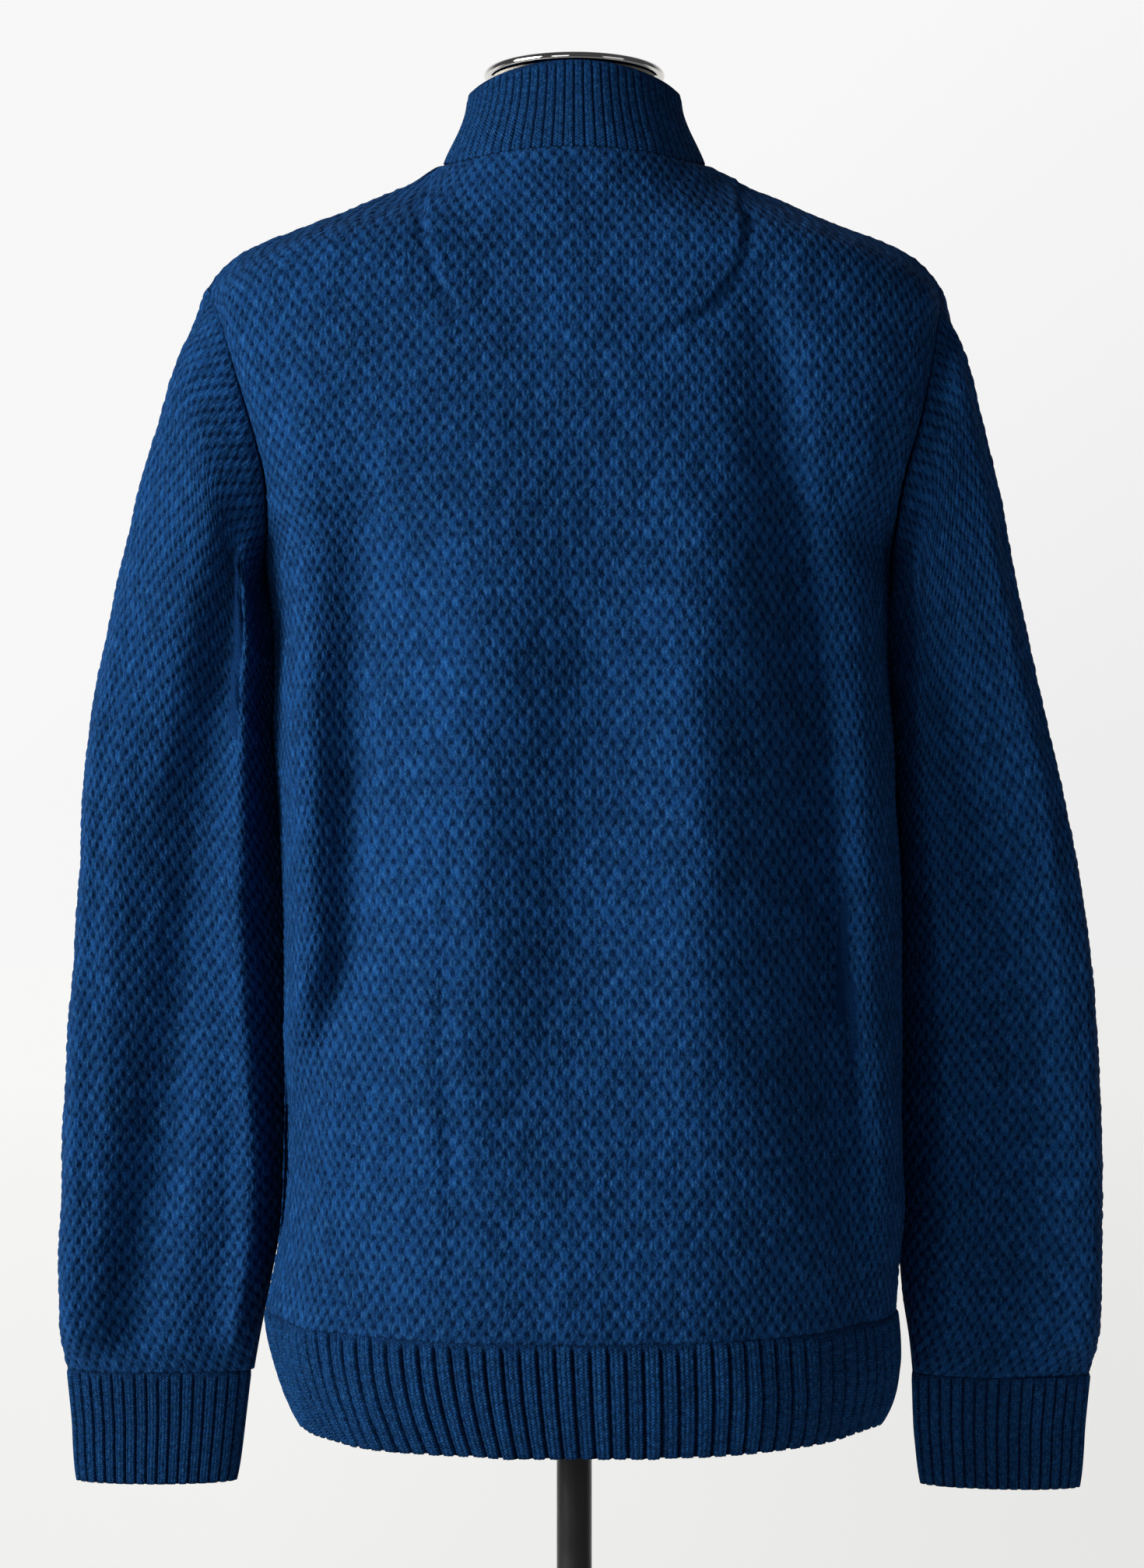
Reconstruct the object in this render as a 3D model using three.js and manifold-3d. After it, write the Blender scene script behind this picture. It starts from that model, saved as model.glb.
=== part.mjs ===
// A chunky knitted cardigan with a ribbed stand collar, hanging on a limbless dress form.
// Millimetres, +Z up. The front faces -Y and the wearer's left is +X.
// The origin is on the floor, under the middle of the dress form's pole.

import * as THREE from "three";
import Module from "manifold-3d";
import { mergeVertices } from "three/addons/utils/BufferGeometryUtils.js";

// ---------- driving sizes ----------

const SEAM_GAP = 0.3; // clear space between two pieces at a seam
const PANEL_WALL = 2.6; // seed-stitch cloth
const RIB_WALL = 2.0; // ribbed cloth, under the raised ribs
const TAPE_WALL = 1.0; // zip tape
const HEM_Z = 702;
const PANEL_FOOT_Z = 764; // where the hem rib meets the panels
const UNDERARM_ROW = 7; // index of the table row that passes under the arm
const ROW_STEPS = [1, 1, 1, 1, 2, 1, 1, 2, 2, 2, 2, 2, 2]; // mesh rows in each table interval
const BACK_COLUMNS = 24;
const FRONT_COLUMNS = 12;
const ZIP_HALF_GAP = 3.4; // from the zip's middle line to a front edge

const HEM_RIB_PITCH = 9.4;
const CUFF_RIB_PITCH = 6.9;
const COLLAR_RIB_PITCH = 5.9;
const RIB_RAISE = { hem: 1.5, cuff: 1.2, collar: 1.1 };
const RIB_TOP_SHARE = 0.55; // flat part of each rib, as a share of its pitch

const POLE_RADIUS = 10;
const BASE_RADIUS = 170;
const BASE_HEIGHT = 14;
const FORM_FOOT_Z = 800;
const NECK_TOP_Z = 1452;
const CAP_RADIUS = 51.5;
const CAP_TOP_Z = 1466;

// ---------- short tables, one row for each section ----------

const table = (names, rows) => {
  const keys = names.split(" ");
  return rows.map((row) => Object.fromEntries(keys.map((key, i) => [key, row[i]])));
};

// Knit rows of the back, from the hem rib to just below the neck and shoulder seam.
// A row falls from zMid at the middle to zEdge at the side seam or armhole.
const BACK_ROWS = table("zMid zEdge xMid left right yMid yEdge", [
  [764, 764, -4, 175, -182, 131, 0],
  [812, 812, -6, 167, -186, 132, 0],
  [880, 880, -7, 165, -186, 129, 0],
  [945, 945, -7, 165, -186, 125, 0],
  [1010, 1010, -5, 166, -184, 122, 0],
  [1080, 1080, -3, 170, -181, 121, 0],
  [1140, 1138, -2, 171, -179, 121, 0],
  [1190, 1185, 0, 175, -180, 120, 0],
  [1222, 1202, 0, 171, -179, 119, 34],
  [1257, 1229, 0, 171, -182, 117, 56],
  [1292, 1258, 0, 178, -190, 112, 62],
  [1328, 1290, 0, 188, -197, 104, 58],
  [1366, 1320, 0, 198, -203, 92, 42],
]);

// The front's rows share the edges of the back's rows.
const FRONT_MIDDLES = table("zMid yMid yEdge", [
  [764, -128, 0],
  [815, -130, 0],
  [880, -129, 0],
  [945, -127, 0],
  [1010, -126, 0],
  [1080, -125, 0],
  [1136, -122, 0],
  [1176, -118, 0],
  [1202, -114, -32],
  [1231, -108, -52],
  [1260, -101, -58],
  [1289, -93, -53],
  [1317, -85, -37],
]);

// Shoulder seam from the neck to the tip of the shoulder.
const SHOULDER_LINE = table("x y z", [
  [75, 5, 1412],
  [94, 6, 1401],
  [118, 7, 1391],
  [140, 7, 1381],
  [165, 7, 1372],
  [186, 7, 1364],
  [200, 7, 1354],
  [209, 7, 1342],
]);

// Half of the back and front neckline, from the middle to the shoulder seam.
const BACK_NECK = table("x y z", [
  [0, 73, 1409],
  [22, 71, 1408.5],
  [44, 62, 1407.5],
  [62, 44, 1407],
  [72, 24, 1409],
  [75, 5, 1412],
]);
const FRONT_NECK = table("x y z", [
  [0, -77, 1344],
  [24, -74, 1350],
  [46, -64, 1364],
  [62, -46, 1383],
  [71, -22, 1401],
  [75, 5, 1412],
]);

// The collar's middle and top rings: half width, back and front depth, and heights all round.
const COLLAR_RINGS = table("halfWidth yBack yFront zBack zSide zFront", [
  [66.5, 64, -72, 1429, 1428, 1362],
  [62, 58, -68, 1446, 1440, 1379],
  [60.5, 54.5, -65, 1460, 1450, 1394],
]);

// Sleeve rings below the armhole. A ring slants from its outer point to its inner point.
const LEFT_SLEEVE = table("xOut zOut xIn zIn yMid halfDepth round", [
  [221, 1308, 178.5, 1168, 0, 67, 2.1],
  [234.5, 1269, 176, 1147, -7, 71, 2.1],
  [248.5, 1226, 173.5, 1122, -14, 71, 2.1],
  [261, 1181, 172, 1092, -19, 69, 2.0],
  [272, 1134, 170, 1058, -24, 65, 2.0],
  [281, 1080, 168, 1015, -27, 59, 2.0],
  [286, 1017, 167, 965, -29, 52, 1.9],
  [290, 955, 167, 918, -30, 46, 1.9],
  [293, 900, 167, 878, -30, 41, 1.85],
  [295.5, 855, 168, 842, -30, 37, 1.85],
  [297.5, 812, 172, 806, -30, 34, 1.85],
  [298.8, 772, 178.5, 770, -30, 30, 1.85],
  [297.5, 743, 184, 742, -30, 25, 1.9],
  [293.5, 722, 187.5, 722, -30, 19, 2.0],
]);
const RIGHT_SLEEVE = table("xOut zOut xIn zIn yMid halfDepth round", [
  [219, 1306, 183.5, 1168, 0, 67, 2.1],
  [229.5, 1265, 183, 1147, -7, 71, 2.1],
  [240, 1226, 183, 1122, -14, 71, 2.1],
  [251, 1178, 183, 1092, -19, 69, 2.0],
  [264.5, 1124, 184, 1058, -24, 65, 2.0],
  [279.5, 1062, 186, 1015, -27, 59, 2.0],
  [292, 1000, 187, 965, -29, 52, 1.9],
  [299.5, 940, 187.5, 918, -30, 46, 1.9],
  [303.5, 888, 187.5, 876, -30, 41, 1.85],
  [305.5, 845, 187.5, 840, -30, 37, 1.85],
  [305.5, 805, 187.5, 804, -30, 34, 1.85],
  [305, 765, 190, 767, -30, 30, 1.85],
  [303, 738, 194, 740, -30, 25, 1.9],
  [298.5, 719, 196, 720, -30, 19, 2.0],
]);
const LEFT_CUFF = table("xOut zOut xIn zIn yMid halfDepth round", [
  [290.5, 692, 191, 692, -30, 15, 2.0],
  [289, 657, 195, 657, -30, 14, 2.0],
]);
const RIGHT_CUFF = table("xOut zOut xIn zIn yMid halfDepth round", [
  [295.5, 689, 197, 690, -30, 15, 2.0],
  [293.5, 653, 200, 655, -30, 14, 2.0],
]);
// The largest folds: a soft line from (x0, z0) through (x1, z1) to (x2, z2), raised or sunk by depth.
const BACK_FOLDS = table("x0 z0 x1 z1 x2 z2 width depth", [
  [127, 1200, 123, 1080, 134, 905, 15, -9],
  [68, 1180, 88, 1090, 110, 880, 22, 6],
  [18, 1150, 18, 1015, 27, 905, 24, -5],
  [-56, 1160, -56, 1040, -56, 905, 26, 4],
  [-107, 1205, -123, 1090, -132, 840, 15, -10],
]);
const FRONT_FOLDS = table("x0 z0 x1 z1 x2 z2 width depth", [
  [122, 1190, 118, 1060, 128, 900, 17, -8],
  [70, 1150, 76, 1020, 84, 880, 24, 5],
  [-116, 1200, -122, 1070, -126, 860, 17, -8],
  [-62, 1160, -66, 1010, -70, 890, 24, 5],
]);

const CUFF_CENTRE = { x: 243, y: -30 };
const HEM_DROP = [0.5, 1]; // hem rib rows, as shares of its height
const HEM_SWELL = [0.5, -5]; // how far each row stands out from the panel's foot

const DRESS_FORM_RINGS = table("z halfWidth yBack yFront round", [
  [FORM_FOOT_Z, 128, 92, -88, 2],
  [860, 140, 104, -98, 2],
  [930, 142, 100, -98, 2],
  [1010, 136, 94, -96, 2],
  [1090, 142, 96, -100, 2],
  [1170, 152, 100, -102, 2],
  [1240, 160, 98, -90, 1.9],
  [1290, 166, 88, -74, 1.75],
  [1318, 172, 70, -52, 1.6],
  [1340, 172, 54, -30, 1.3],
]);
const DRESS_FORM_NECK = table("z halfWidth yBack yFront round", [
  [1401, 59, 50, -38, 1.6],
  [1420, 55, 52, -46, 2],
  [1436, 51, 49, -47, 2],
  [NECK_TOP_Z, 49.5, 49, -49, 2],
]);
const SHOULDER_ROUND = 1.2; // the sloping shoulders are ridged, so their rings are pointed

// ---------- small vector and curve helpers ----------

const vec = (x, y, z) => new THREE.Vector3(x, y, z);
const mix = (a, b, t) => a.clone().lerp(b, t);
const points = (rows, side = 1) => rows.map((row) => vec(side * row.x, row.y, row.z));

// The point at a share of a polyline's length.
function alongPolyline(line, share) {
  const lengths = [0];
  for (let i = 1; i < line.length; i += 1) {
    lengths.push(lengths[i - 1] + line[i].distanceTo(line[i - 1]));
  }
  const target = Math.min(Math.max(share, 0), 1) * lengths[line.length - 1];
  let i = 1;
  while (i < line.length - 1 && lengths[i] < target) i += 1;
  const t = (target - lengths[i - 1]) / (lengths[i] - lengths[i - 1]);
  return mix(line[i - 1], line[i], t);
}

// A point between the entries of a list, its position given in steps of the list.
function alongList(list, position) {
  const i = Math.min(Math.floor(position), list.length - 2);
  return mix(list[i], list[i + 1], position - i);
}

// A smooth curve through four neighbouring points, between b and c.
function catmullRom(a, b, c, d, t) {
  const bend = (p, q, r, s) =>
    0.5 * (2 * q + (r - p) * t + (2 * p - 5 * q + 4 * r - s) * t * t + (3 * q - p - 3 * r + s) * t ** 3);
  return vec(bend(a.x, b.x, c.x, d.x), bend(a.y, b.y, c.y, d.y), bend(a.z, b.z, c.z, d.z));
}

const signedPower = (value, power) => Math.sign(value) * Math.abs(value) ** power;

// ---------- body panels ----------

const ROW_ROUNDNESS = 2.15;
const ROW_SAMPLES = 40;

// Half of one knit row, from the middle (0) to the side edge (1), evenly spaced along the cloth.
function halfRow(row, middle, side, startX) {
  const edgeX = side > 0 ? row.left : row.right;
  const fromX = row.xMid + side * startX;
  const line = [];
  for (let i = 0; i <= ROW_SAMPLES; i += 1) {
    const angle = (i / ROW_SAMPLES) * (Math.PI / 2);
    const across = Math.sin(angle) ** (2 / ROW_ROUNDNESS);
    const deep = Math.cos(angle) ** (2 / ROW_ROUNDNESS);
    line.push(
      vec(
        fromX + (edgeX - fromX) * across,
        middle.yEdge + (middle.yMid - middle.yEdge) * deep,
        row.zEdge + (middle.zMid - row.zEdge) * Math.cos(angle),
      ),
    );
  }
  return line;
}

// Half of the last row: the neckline and then the shoulder seam.
function topRow(neck, side, startX) {
  const neckLine = points(neck, side);
  neckLine[0].x = side * startX;
  return [...neckLine, ...points(SHOULDER_LINE.slice(1), side)];
}

// Columns share the neckline and the shoulder by fixed counts, so a vertex lies where they meet.
function spreadTop(line, neckCount, columns, neckColumns) {
  const neck = line.slice(0, neckCount);
  const shoulder = line.slice(neckCount - 1);
  const spread = [];
  for (let j = 0; j <= columns; j += 1) {
    const inNeck = j <= neckColumns;
    spread.push(
      inNeck
        ? alongPolyline(neck, j / neckColumns)
        : alongPolyline(shoulder, (j - neckColumns) / (columns - neckColumns)),
    );
  }
  return spread;
}

// One half panel as control rows of evenly spread points, the middle first.
function halfPanel(middles, neck, side, columns, neckColumns, startX) {
  const rows = BACK_ROWS.map((row, i) => {
    const line = halfRow(row, middles[i], side, startX);
    return Array.from({ length: columns + 1 }, (_, j) => alongPolyline(line, j / columns));
  });
  rows.push(spreadTop(topRow(neck, side, startX), neck.length, columns, neckColumns));
  return rows;
}

// Adds mesh rows between the control rows.
function refineRows(rows) {
  const fine = [];
  for (let i = 0; i < rows.length - 1; i += 1) {
    const before = rows[Math.max(i - 1, 0)];
    const after = rows[Math.min(i + 2, rows.length - 1)];
    for (let k = 0; k < ROW_STEPS[i]; k += 1) {
      const t = k / ROW_STEPS[i];
      fine.push(rows[i].map((p, j) => catmullRom(before[j], p, rows[i + 1][j], after[j], t)));
    }
  }
  fine.push(rows[rows.length - 1].map((p) => p.clone()));
  return fine;
}

// How far the folds lift the cloth at a point.
function foldLift(folds, point) {
  let lift = 0;
  for (const fold of folds) {
    const upper = point.z > fold.z1;
    const t = (point.z - fold.z1) / ((upper ? fold.z0 : fold.z2) - fold.z1);
    const line = fold.x1 + ((upper ? fold.x0 : fold.x2) - fold.x1) * Math.min(t, 1.4);
    const fade = Math.exp(-((t / 0.95) ** 4));
    lift += fold.depth * fade * Math.exp(-(((point.x - line) / fold.width) ** 2));
  }
  return lift;
}

// ---------- walls ----------

// A grid of points with the cloth's outward direction at each one.
function makeGrid(rows, outward, closed = false) {
  const count = rows[0].length;
  const normals = rows.map((row, i) =>
    row.map((_, j) => {
      const left = closed ? (j + count - 1) % count : Math.max(j - 1, 0);
      const right = closed ? (j + 1) % count : Math.min(j + 1, count - 1);
      const along = row[right].clone().sub(row[left]);
      const up = rows[Math.min(i + 1, rows.length - 1)][j].clone().sub(rows[Math.max(i - 1, 0)][j]);
      const normal = along.cross(up).normalize();
      return normal.dot(outward(row[j])) < 0 ? normal.negate() : normal;
    }),
  );
  return { rows, normals, closed };
}

function applyFolds(grid, folds, outward) {
  const last = grid.rows[0].length - 1;
  const rows = grid.rows.map((row, i) =>
    row.map((p, j) => {
      const edge = Math.min(j, last - j, i, grid.rows.length - 1 - i);
      const lift = edge === 0 ? 0 : foldLift(folds, p);
      return p.clone().addScaledVector(grid.normals[i][j], lift);
    }),
  );
  return makeGrid(rows, outward, grid.closed);
}

// Gives points that several grids share one common direction, so that the walls meet face to face.
function sewNormals(grids) {
  const shared = new Map();
  for (const grid of grids) {
    grid.rows.forEach((row, i) =>
      row.forEach((p, j) => {
        const key = [p.x, p.y, p.z].map((value) => Math.round(value * 20)).join(",");
        if (!shared.has(key)) shared.set(key, []);
        shared.get(key).push(grid.normals[i][j]);
      }),
    );
  }
  for (const normals of shared.values()) {
    if (normals.length < 2) continue;
    const sum = normals.reduce((total, normal) => total.add(normal), vec(0, 0, 0)).normalize();
    normals.forEach((normal) => normal.copy(sum));
  }
}

// Moves an edge point into its own piece, square to the seam.
function pulled(p, inner, before, after, reach) {
  const seam = after.clone().sub(before).normalize();
  const inward = inner.clone().sub(p);
  inward.addScaledVector(seam, -inward.dot(seam)).normalize();
  return p.clone().addScaledVector(inward, reach);
}

// Draws the named edges back, by half the seam gap each unless told otherwise.
function drawBack(grid, edges, reach = SEAM_GAP / 2) {
  const lastRow = grid.rows.length - 1;
  const lastColumn = grid.rows[0].length - 1;
  const near = (i, j) => {
    const column = grid.closed ? (j + lastColumn + 1) % (lastColumn + 1) : Math.min(Math.max(j, 0), lastColumn);
    return grid.rows[Math.min(Math.max(i, 0), lastRow)][column];
  };
  const rows = grid.rows.map((row, i) =>
    row.map((p, j) => {
      const moved = p.clone();
      const shift = (inner, before, after) => moved.add(pulled(p, inner, before, after, reach).sub(p));
      if (edges.includes("start") && j === 0) shift(near(i, 1), near(i - 1, 0), near(i + 1, 0));
      if (edges.includes("end") && j === lastColumn) shift(near(i, j - 1), near(i - 1, j), near(i + 1, j));
      if (edges.includes("bottom") && i === 0) shift(near(1, j), near(0, j - 1), near(0, j + 1));
      if (edges.includes("top") && i === lastRow) shift(near(i - 1, j), near(i, j - 1), near(i, j + 1));
      return moved;
    }),
  );
  return { ...grid, rows };
}

// Joins an outer and an inner sheet of points into one closed body. The sheets have the same rows,
// but the inner one may have fewer columns.
function wallGeometry(outer, inner, closed) {
  const positions = [];
  const triangles = [];
  const index = (rows) =>
    rows.map((row) =>
      row.map((p) => {
        positions.push(p.x, p.y, p.z);
        return positions.length / 3 - 1;
      }),
    );
  const wrap = (row) => (closed ? [...row, row[0]] : row);
  const out = index(outer).map(wrap);
  const back = index(inner).map(wrap);
  const sheet = (rows, flip) => {
    for (let i = 0; i < rows.length - 1; i += 1) {
      for (let j = 0; j < rows[i].length - 1; j += 1) {
        const [a, b, c, d] = [rows[i][j], rows[i][j + 1], rows[i + 1][j + 1], rows[i + 1][j]];
        triangles.push(...(flip ? [a, c, b, a, d, c] : [a, b, c, a, c, d]));
      }
    }
  };
  // A strip between two edge lines that may have different numbers of points.
  const strip = (first, second, flip) => {
    let i = 0;
    let j = 0;
    while (i < first.length - 1 || j < second.length - 1) {
      const nextFirst = (i + 1) / (first.length - 1);
      const nextSecond = (j + 1) / (second.length - 1);
      const stepFirst = j === second.length - 1 || (i < first.length - 1 && nextFirst <= nextSecond);
      const corner = stepFirst ? first[i + 1] : second[j + 1];
      triangles.push(...(flip ? [first[i], second[j], corner] : [first[i], corner, second[j]]));
      if (stepFirst) i += 1;
      else j += 1;
    }
  };
  sheet(out, false);
  sheet(back, true);
  strip(out[0], back[0], true);
  strip(out[out.length - 1], back[back.length - 1], false);
  if (!closed) {
    strip(out.map((row) => row[0]), back.map((row) => row[0]), false);
    strip(out.map((row) => row[row.length - 1]), back.map((row) => row[row.length - 1]), true);
  }
  return facingOut(positions, triangles);
}

// Turns the triangles over if the body came out inside out.
function facingOut(positions, triangles) {
  const corner = (i) => vec(positions[3 * i], positions[3 * i + 1], positions[3 * i + 2]);
  let volume = 0;
  for (let i = 0; i < triangles.length; i += 3) {
    const [a, b, c] = [corner(triangles[i]), corner(triangles[i + 1]), corner(triangles[i + 2])];
    volume += a.dot(b.cross(c));
  }
  if (volume < 0) triangles.reverse();
  const geometry = new THREE.BufferGeometry();
  geometry.setAttribute("position", new THREE.Float32BufferAttribute(positions, 3));
  geometry.setIndex(triangles);
  geometry.computeVertexNormals();
  return geometry;
}

function plainWall(grid, thickness) {
  const inner = grid.rows.map((row, i) =>
    row.map((p, j) => p.clone().addScaledVector(grid.normals[i][j], -thickness)),
  );
  return wallGeometry(grid.rows, inner, grid.closed);
}

// A wall with ribs raised in its outer points over a plain inside.
function ribbedWall(grid, pitch, raise) {
  const wrap = (row) => (grid.closed ? [...row, row[0]] : row);
  const rows = grid.rows.map(wrap);
  const normals = grid.normals.map(wrap);
  const steps = rows[0].length - 1;
  const length = rows[0].reduce((sum, p, j) => sum + (j ? p.distanceTo(rows[0][j - 1]) : 0), 0);
  const ribs = Math.round(length / pitch);
  const marks = [];
  for (let rib = 0; rib < ribs; rib += 1) {
    marks.push([rib, 0], [rib + 0.5 - RIB_TOP_SHARE / 2, 1], [rib + 0.5 + RIB_TOP_SHARE / 2, 1]);
  }
  if (!grid.closed) marks.push([ribs, 0]);
  const outer = rows.map((row, i) =>
    marks.map(([place, up]) => {
      const position = (place / ribs) * steps;
      return alongList(row, position).addScaledVector(alongList(normals[i], position), up * raise);
    }),
  );
  const inner = grid.rows.map((row, i) =>
    row.map((p, j) => p.clone().addScaledVector(grid.normals[i][j], -RIB_WALL)),
  );
  return wallGeometry(outer, inner, grid.closed);
}

// ---------- the cardigan's grids ----------

const awayFromPole = (p) => vec(p.x, p.y, p.z > 1300 ? (p.z - 1300) * 1.5 : 0);
const BACK_NECK_COLUMNS = 5;
const FRONT_NECK_COLUMNS = 5;

function backGrid() {
  const half = BACK_COLUMNS / 2;
  const middles = BACK_ROWS;
  const left = refineRows(halfPanel(middles, BACK_NECK, 1, half, BACK_NECK_COLUMNS, 0));
  const right = refineRows(halfPanel(middles, BACK_NECK, -1, half, BACK_NECK_COLUMNS, 0));
  const rows = left.map((row, i) => [...right[i].slice(1).reverse(), ...row]);
  return applyFolds(makeGrid(rows, awayFromPole), BACK_FOLDS, awayFromPole);
}

function frontGrid(side) {
  const rows = refineRows(
    halfPanel(FRONT_MIDDLES, FRONT_NECK, side, FRONT_COLUMNS, FRONT_NECK_COLUMNS, ZIP_HALF_GAP),
  );
  return applyFolds(makeGrid(rows, awayFromPole), FRONT_FOLDS, awayFromPole);
}

// The armhole as a loop: from the shoulder tip down the back's edge and up the front's edge.
function armholeLoop(back, front, side) {
  const foot = ROW_STEPS.slice(0, UNDERARM_ROW).reduce((sum, n) => sum + n, 0);
  const edge = side > 0 ? back.rows[0].length - 1 : 0;
  const down = back.rows.slice(foot).map((row) => row[edge]);
  const up = front.rows.slice(foot + 1, -1).map((row) => row[row.length - 1]);
  return [...down.reverse(), ...up].map((p) => p.clone());
}

// One slanted ring of a sleeve, as many points as the armhole has.
function sleeveRing(row, side, count) {
  const outerPoint = vec(side * row.xOut, row.yMid, row.zOut);
  const innerPoint = vec(side * row.xIn, row.yMid, row.zIn);
  const centre = mix(outerPoint, innerPoint, 0.5);
  const reach = outerPoint.clone().sub(centre);
  return Array.from({ length: count }, (_, j) => {
    const angle = (2 * Math.PI * j) / count;
    return centre
      .clone()
      .addScaledVector(reach, signedPower(Math.cos(angle), 2 / row.round))
      .add(vec(0, row.halfDepth * signedPower(Math.sin(angle), 2 / row.round), 0));
  });
}

function sleeveGrid(loop, rows, side) {
  const rings = [loop, ...rows.map((row) => sleeveRing(row, side, loop.length))];
  const axis = rings.map((ring) => ring.reduce((sum, p) => sum.add(p), vec(0, 0, 0)).divideScalar(ring.length));
  const outward = (p) => {
    const ring = rings.findIndex((points) => points.includes(p));
    return p.clone().sub(axis[ring]);
  };
  return makeGrid(rings, outward, true);
}

function cuffGrid(sleeve, rows, side) {
  const top = sleeve.rows[sleeve.rows.length - 1];
  const rings = [top.map((p) => p.clone()), ...rows.map((row) => sleeveRing(row, side, top.length))];
  const outward = (p) => p.clone().sub(vec(side * CUFF_CENTRE.x, CUFF_CENTRE.y, p.z));
  const grid = makeGrid(rings, outward, true);
  grid.normals[0].forEach((normal, j) => normal.copy(sleeve.normals[sleeve.rows.length - 1][j]));
  return grid;
}

// The hem rib hangs from a panel's first row.
function hemGrid(panel) {
  const top = panel.rows[0];
  const normals = panel.normals[0];
  const drop = PANEL_FOOT_Z - HEM_Z;
  const rows = [
    top.map((p) => p.clone()),
    ...HEM_DROP.map((share, k) =>
      top.map((p, j) => p.clone().addScaledVector(normals[j], HEM_SWELL[k]).setZ(p.z - share * drop)),
    ),
  ];
  const grid = makeGrid(rows, awayFromPole);
  grid.normals.forEach((row) => row.forEach((normal, j) => normal.copy(normals[j])));
  return grid;
}

// The whole neckline, from the right front edge round the back to the left front edge.
function neckline(back, frontLeft, frontRight) {
  const top = back.rows[back.rows.length - 1];
  const middle = BACK_COLUMNS / 2;
  const backNeck = top.slice(middle - BACK_NECK_COLUMNS, middle + BACK_NECK_COLUMNS + 1);
  const half = (front) => front.rows[front.rows.length - 1].slice(0, FRONT_NECK_COLUMNS);
  return [...half(frontRight), ...backNeck, ...half(frontLeft).reverse()].map((p) => p.clone());
}

function collarGrid(base) {
  const rings = COLLAR_RINGS.map((ring) =>
    base.map((p) => {
      const angle = Math.atan2(p.x / 75, (p.y - 1) / 74);
      const back = Math.cos(angle);
      const y = back > 0 ? ring.yBack * back : -ring.yFront * back;
      const z = ring.zSide + (back > 0 ? ring.zBack - ring.zSide : ring.zSide - ring.zFront) * back * Math.abs(back);
      const edge = Math.abs(p.x) < ZIP_HALF_GAP + 0.1 && p.y < 0;
      return vec(edge ? p.x : ring.halfWidth * Math.sin(angle), y, z);
    }),
  );
  return makeGrid([base, ...rings], (p) => vec(p.x, p.y, 0));
}

// ---------- zip ----------

const TAPE_WIDTH = 11;
const TAPE_MIDDLE_GAP = 0.6; // from the middle line to a tape
const TAPE_CLEAR = 0.5; // behind the cloth
const TAPE_TURN = 1.8; // how far a tape's outer edge follows the cloth round

// The slider's own frame: x across the zip, y up along it, z out of the cloth's face.
const SLIDER = { topWidth: 6, footWidth: 4.6, height: 12, behind: 2.7, proud: 2.2, z: 1379 };
const BRIDGE = { width: 2.4, low: -3.5, high: 4, proud: 3.4, bar: 1.3 };
const PULL = { width: 6.4, length: 27, thick: 1.4, bar: 1.3, eyeWidth: 3.4, eyeReach: 5 };
const HINGE_Y = 0.2; // the pull turns here, inside the bridge
const HINGE_Z = SLIDER.proud + 1.05;

// A tape lies behind the edges of the hem, the front and the collar.
function tapeGrid(side, grids) {
  const line = grids.flatMap((grid) => grid);
  const rows = line.map(({ p, n }) => {
    const seat = p.clone().addScaledVector(n, -(PANEL_WALL + TAPE_CLEAR));
    return [
      vec(side * TAPE_MIDDLE_GAP + p.x - side * ZIP_HALF_GAP, seat.y, seat.z),
      vec(side * (TAPE_WIDTH + TAPE_MIDDLE_GAP) + p.x - side * ZIP_HALF_GAP, seat.y + TAPE_TURN, seat.z),
    ];
  });
  return makeGrid(rows, (p) => vec(0, p.y, 0));
}

function edgeLine(grid, column, from, to) {
  return grid.rows.slice(from, to).map((row, i) => ({ p: row[column], n: grid.normals[from + i][column] }));
}

const wasm = await Module();
wasm.setup();

function solid(geometry) {
  const bare = geometry.clone();
  bare.deleteAttribute("normal");
  bare.deleteAttribute("uv");
  const merged = mergeVertices(bare, 1e-4);
  const vertProperties = new Float32Array(merged.attributes.position.array);
  const triVerts = new Uint32Array(merged.index.array);
  return new wasm.Manifold(new wasm.Mesh({ numProp: 3, vertProperties, triVerts }));
}

function joined(first, second) {
  const mesh = solid(first).add(solid(second)).getMesh();
  const geometry = new THREE.BufferGeometry();
  geometry.setAttribute("position", new THREE.Float32BufferAttribute(mesh.vertProperties, 3));
  geometry.setIndex([...mesh.triVerts]);
  geometry.computeVertexNormals();
  return geometry;
}

const extrude = (shape, depth) =>
  new THREE.ExtrudeGeometry(shape, { depth, bevelEnabled: false, curveSegments: 6 });
const outline = (corners) => new THREE.Shape(corners.map(([x, y]) => new THREE.Vector2(x, y)));

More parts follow.
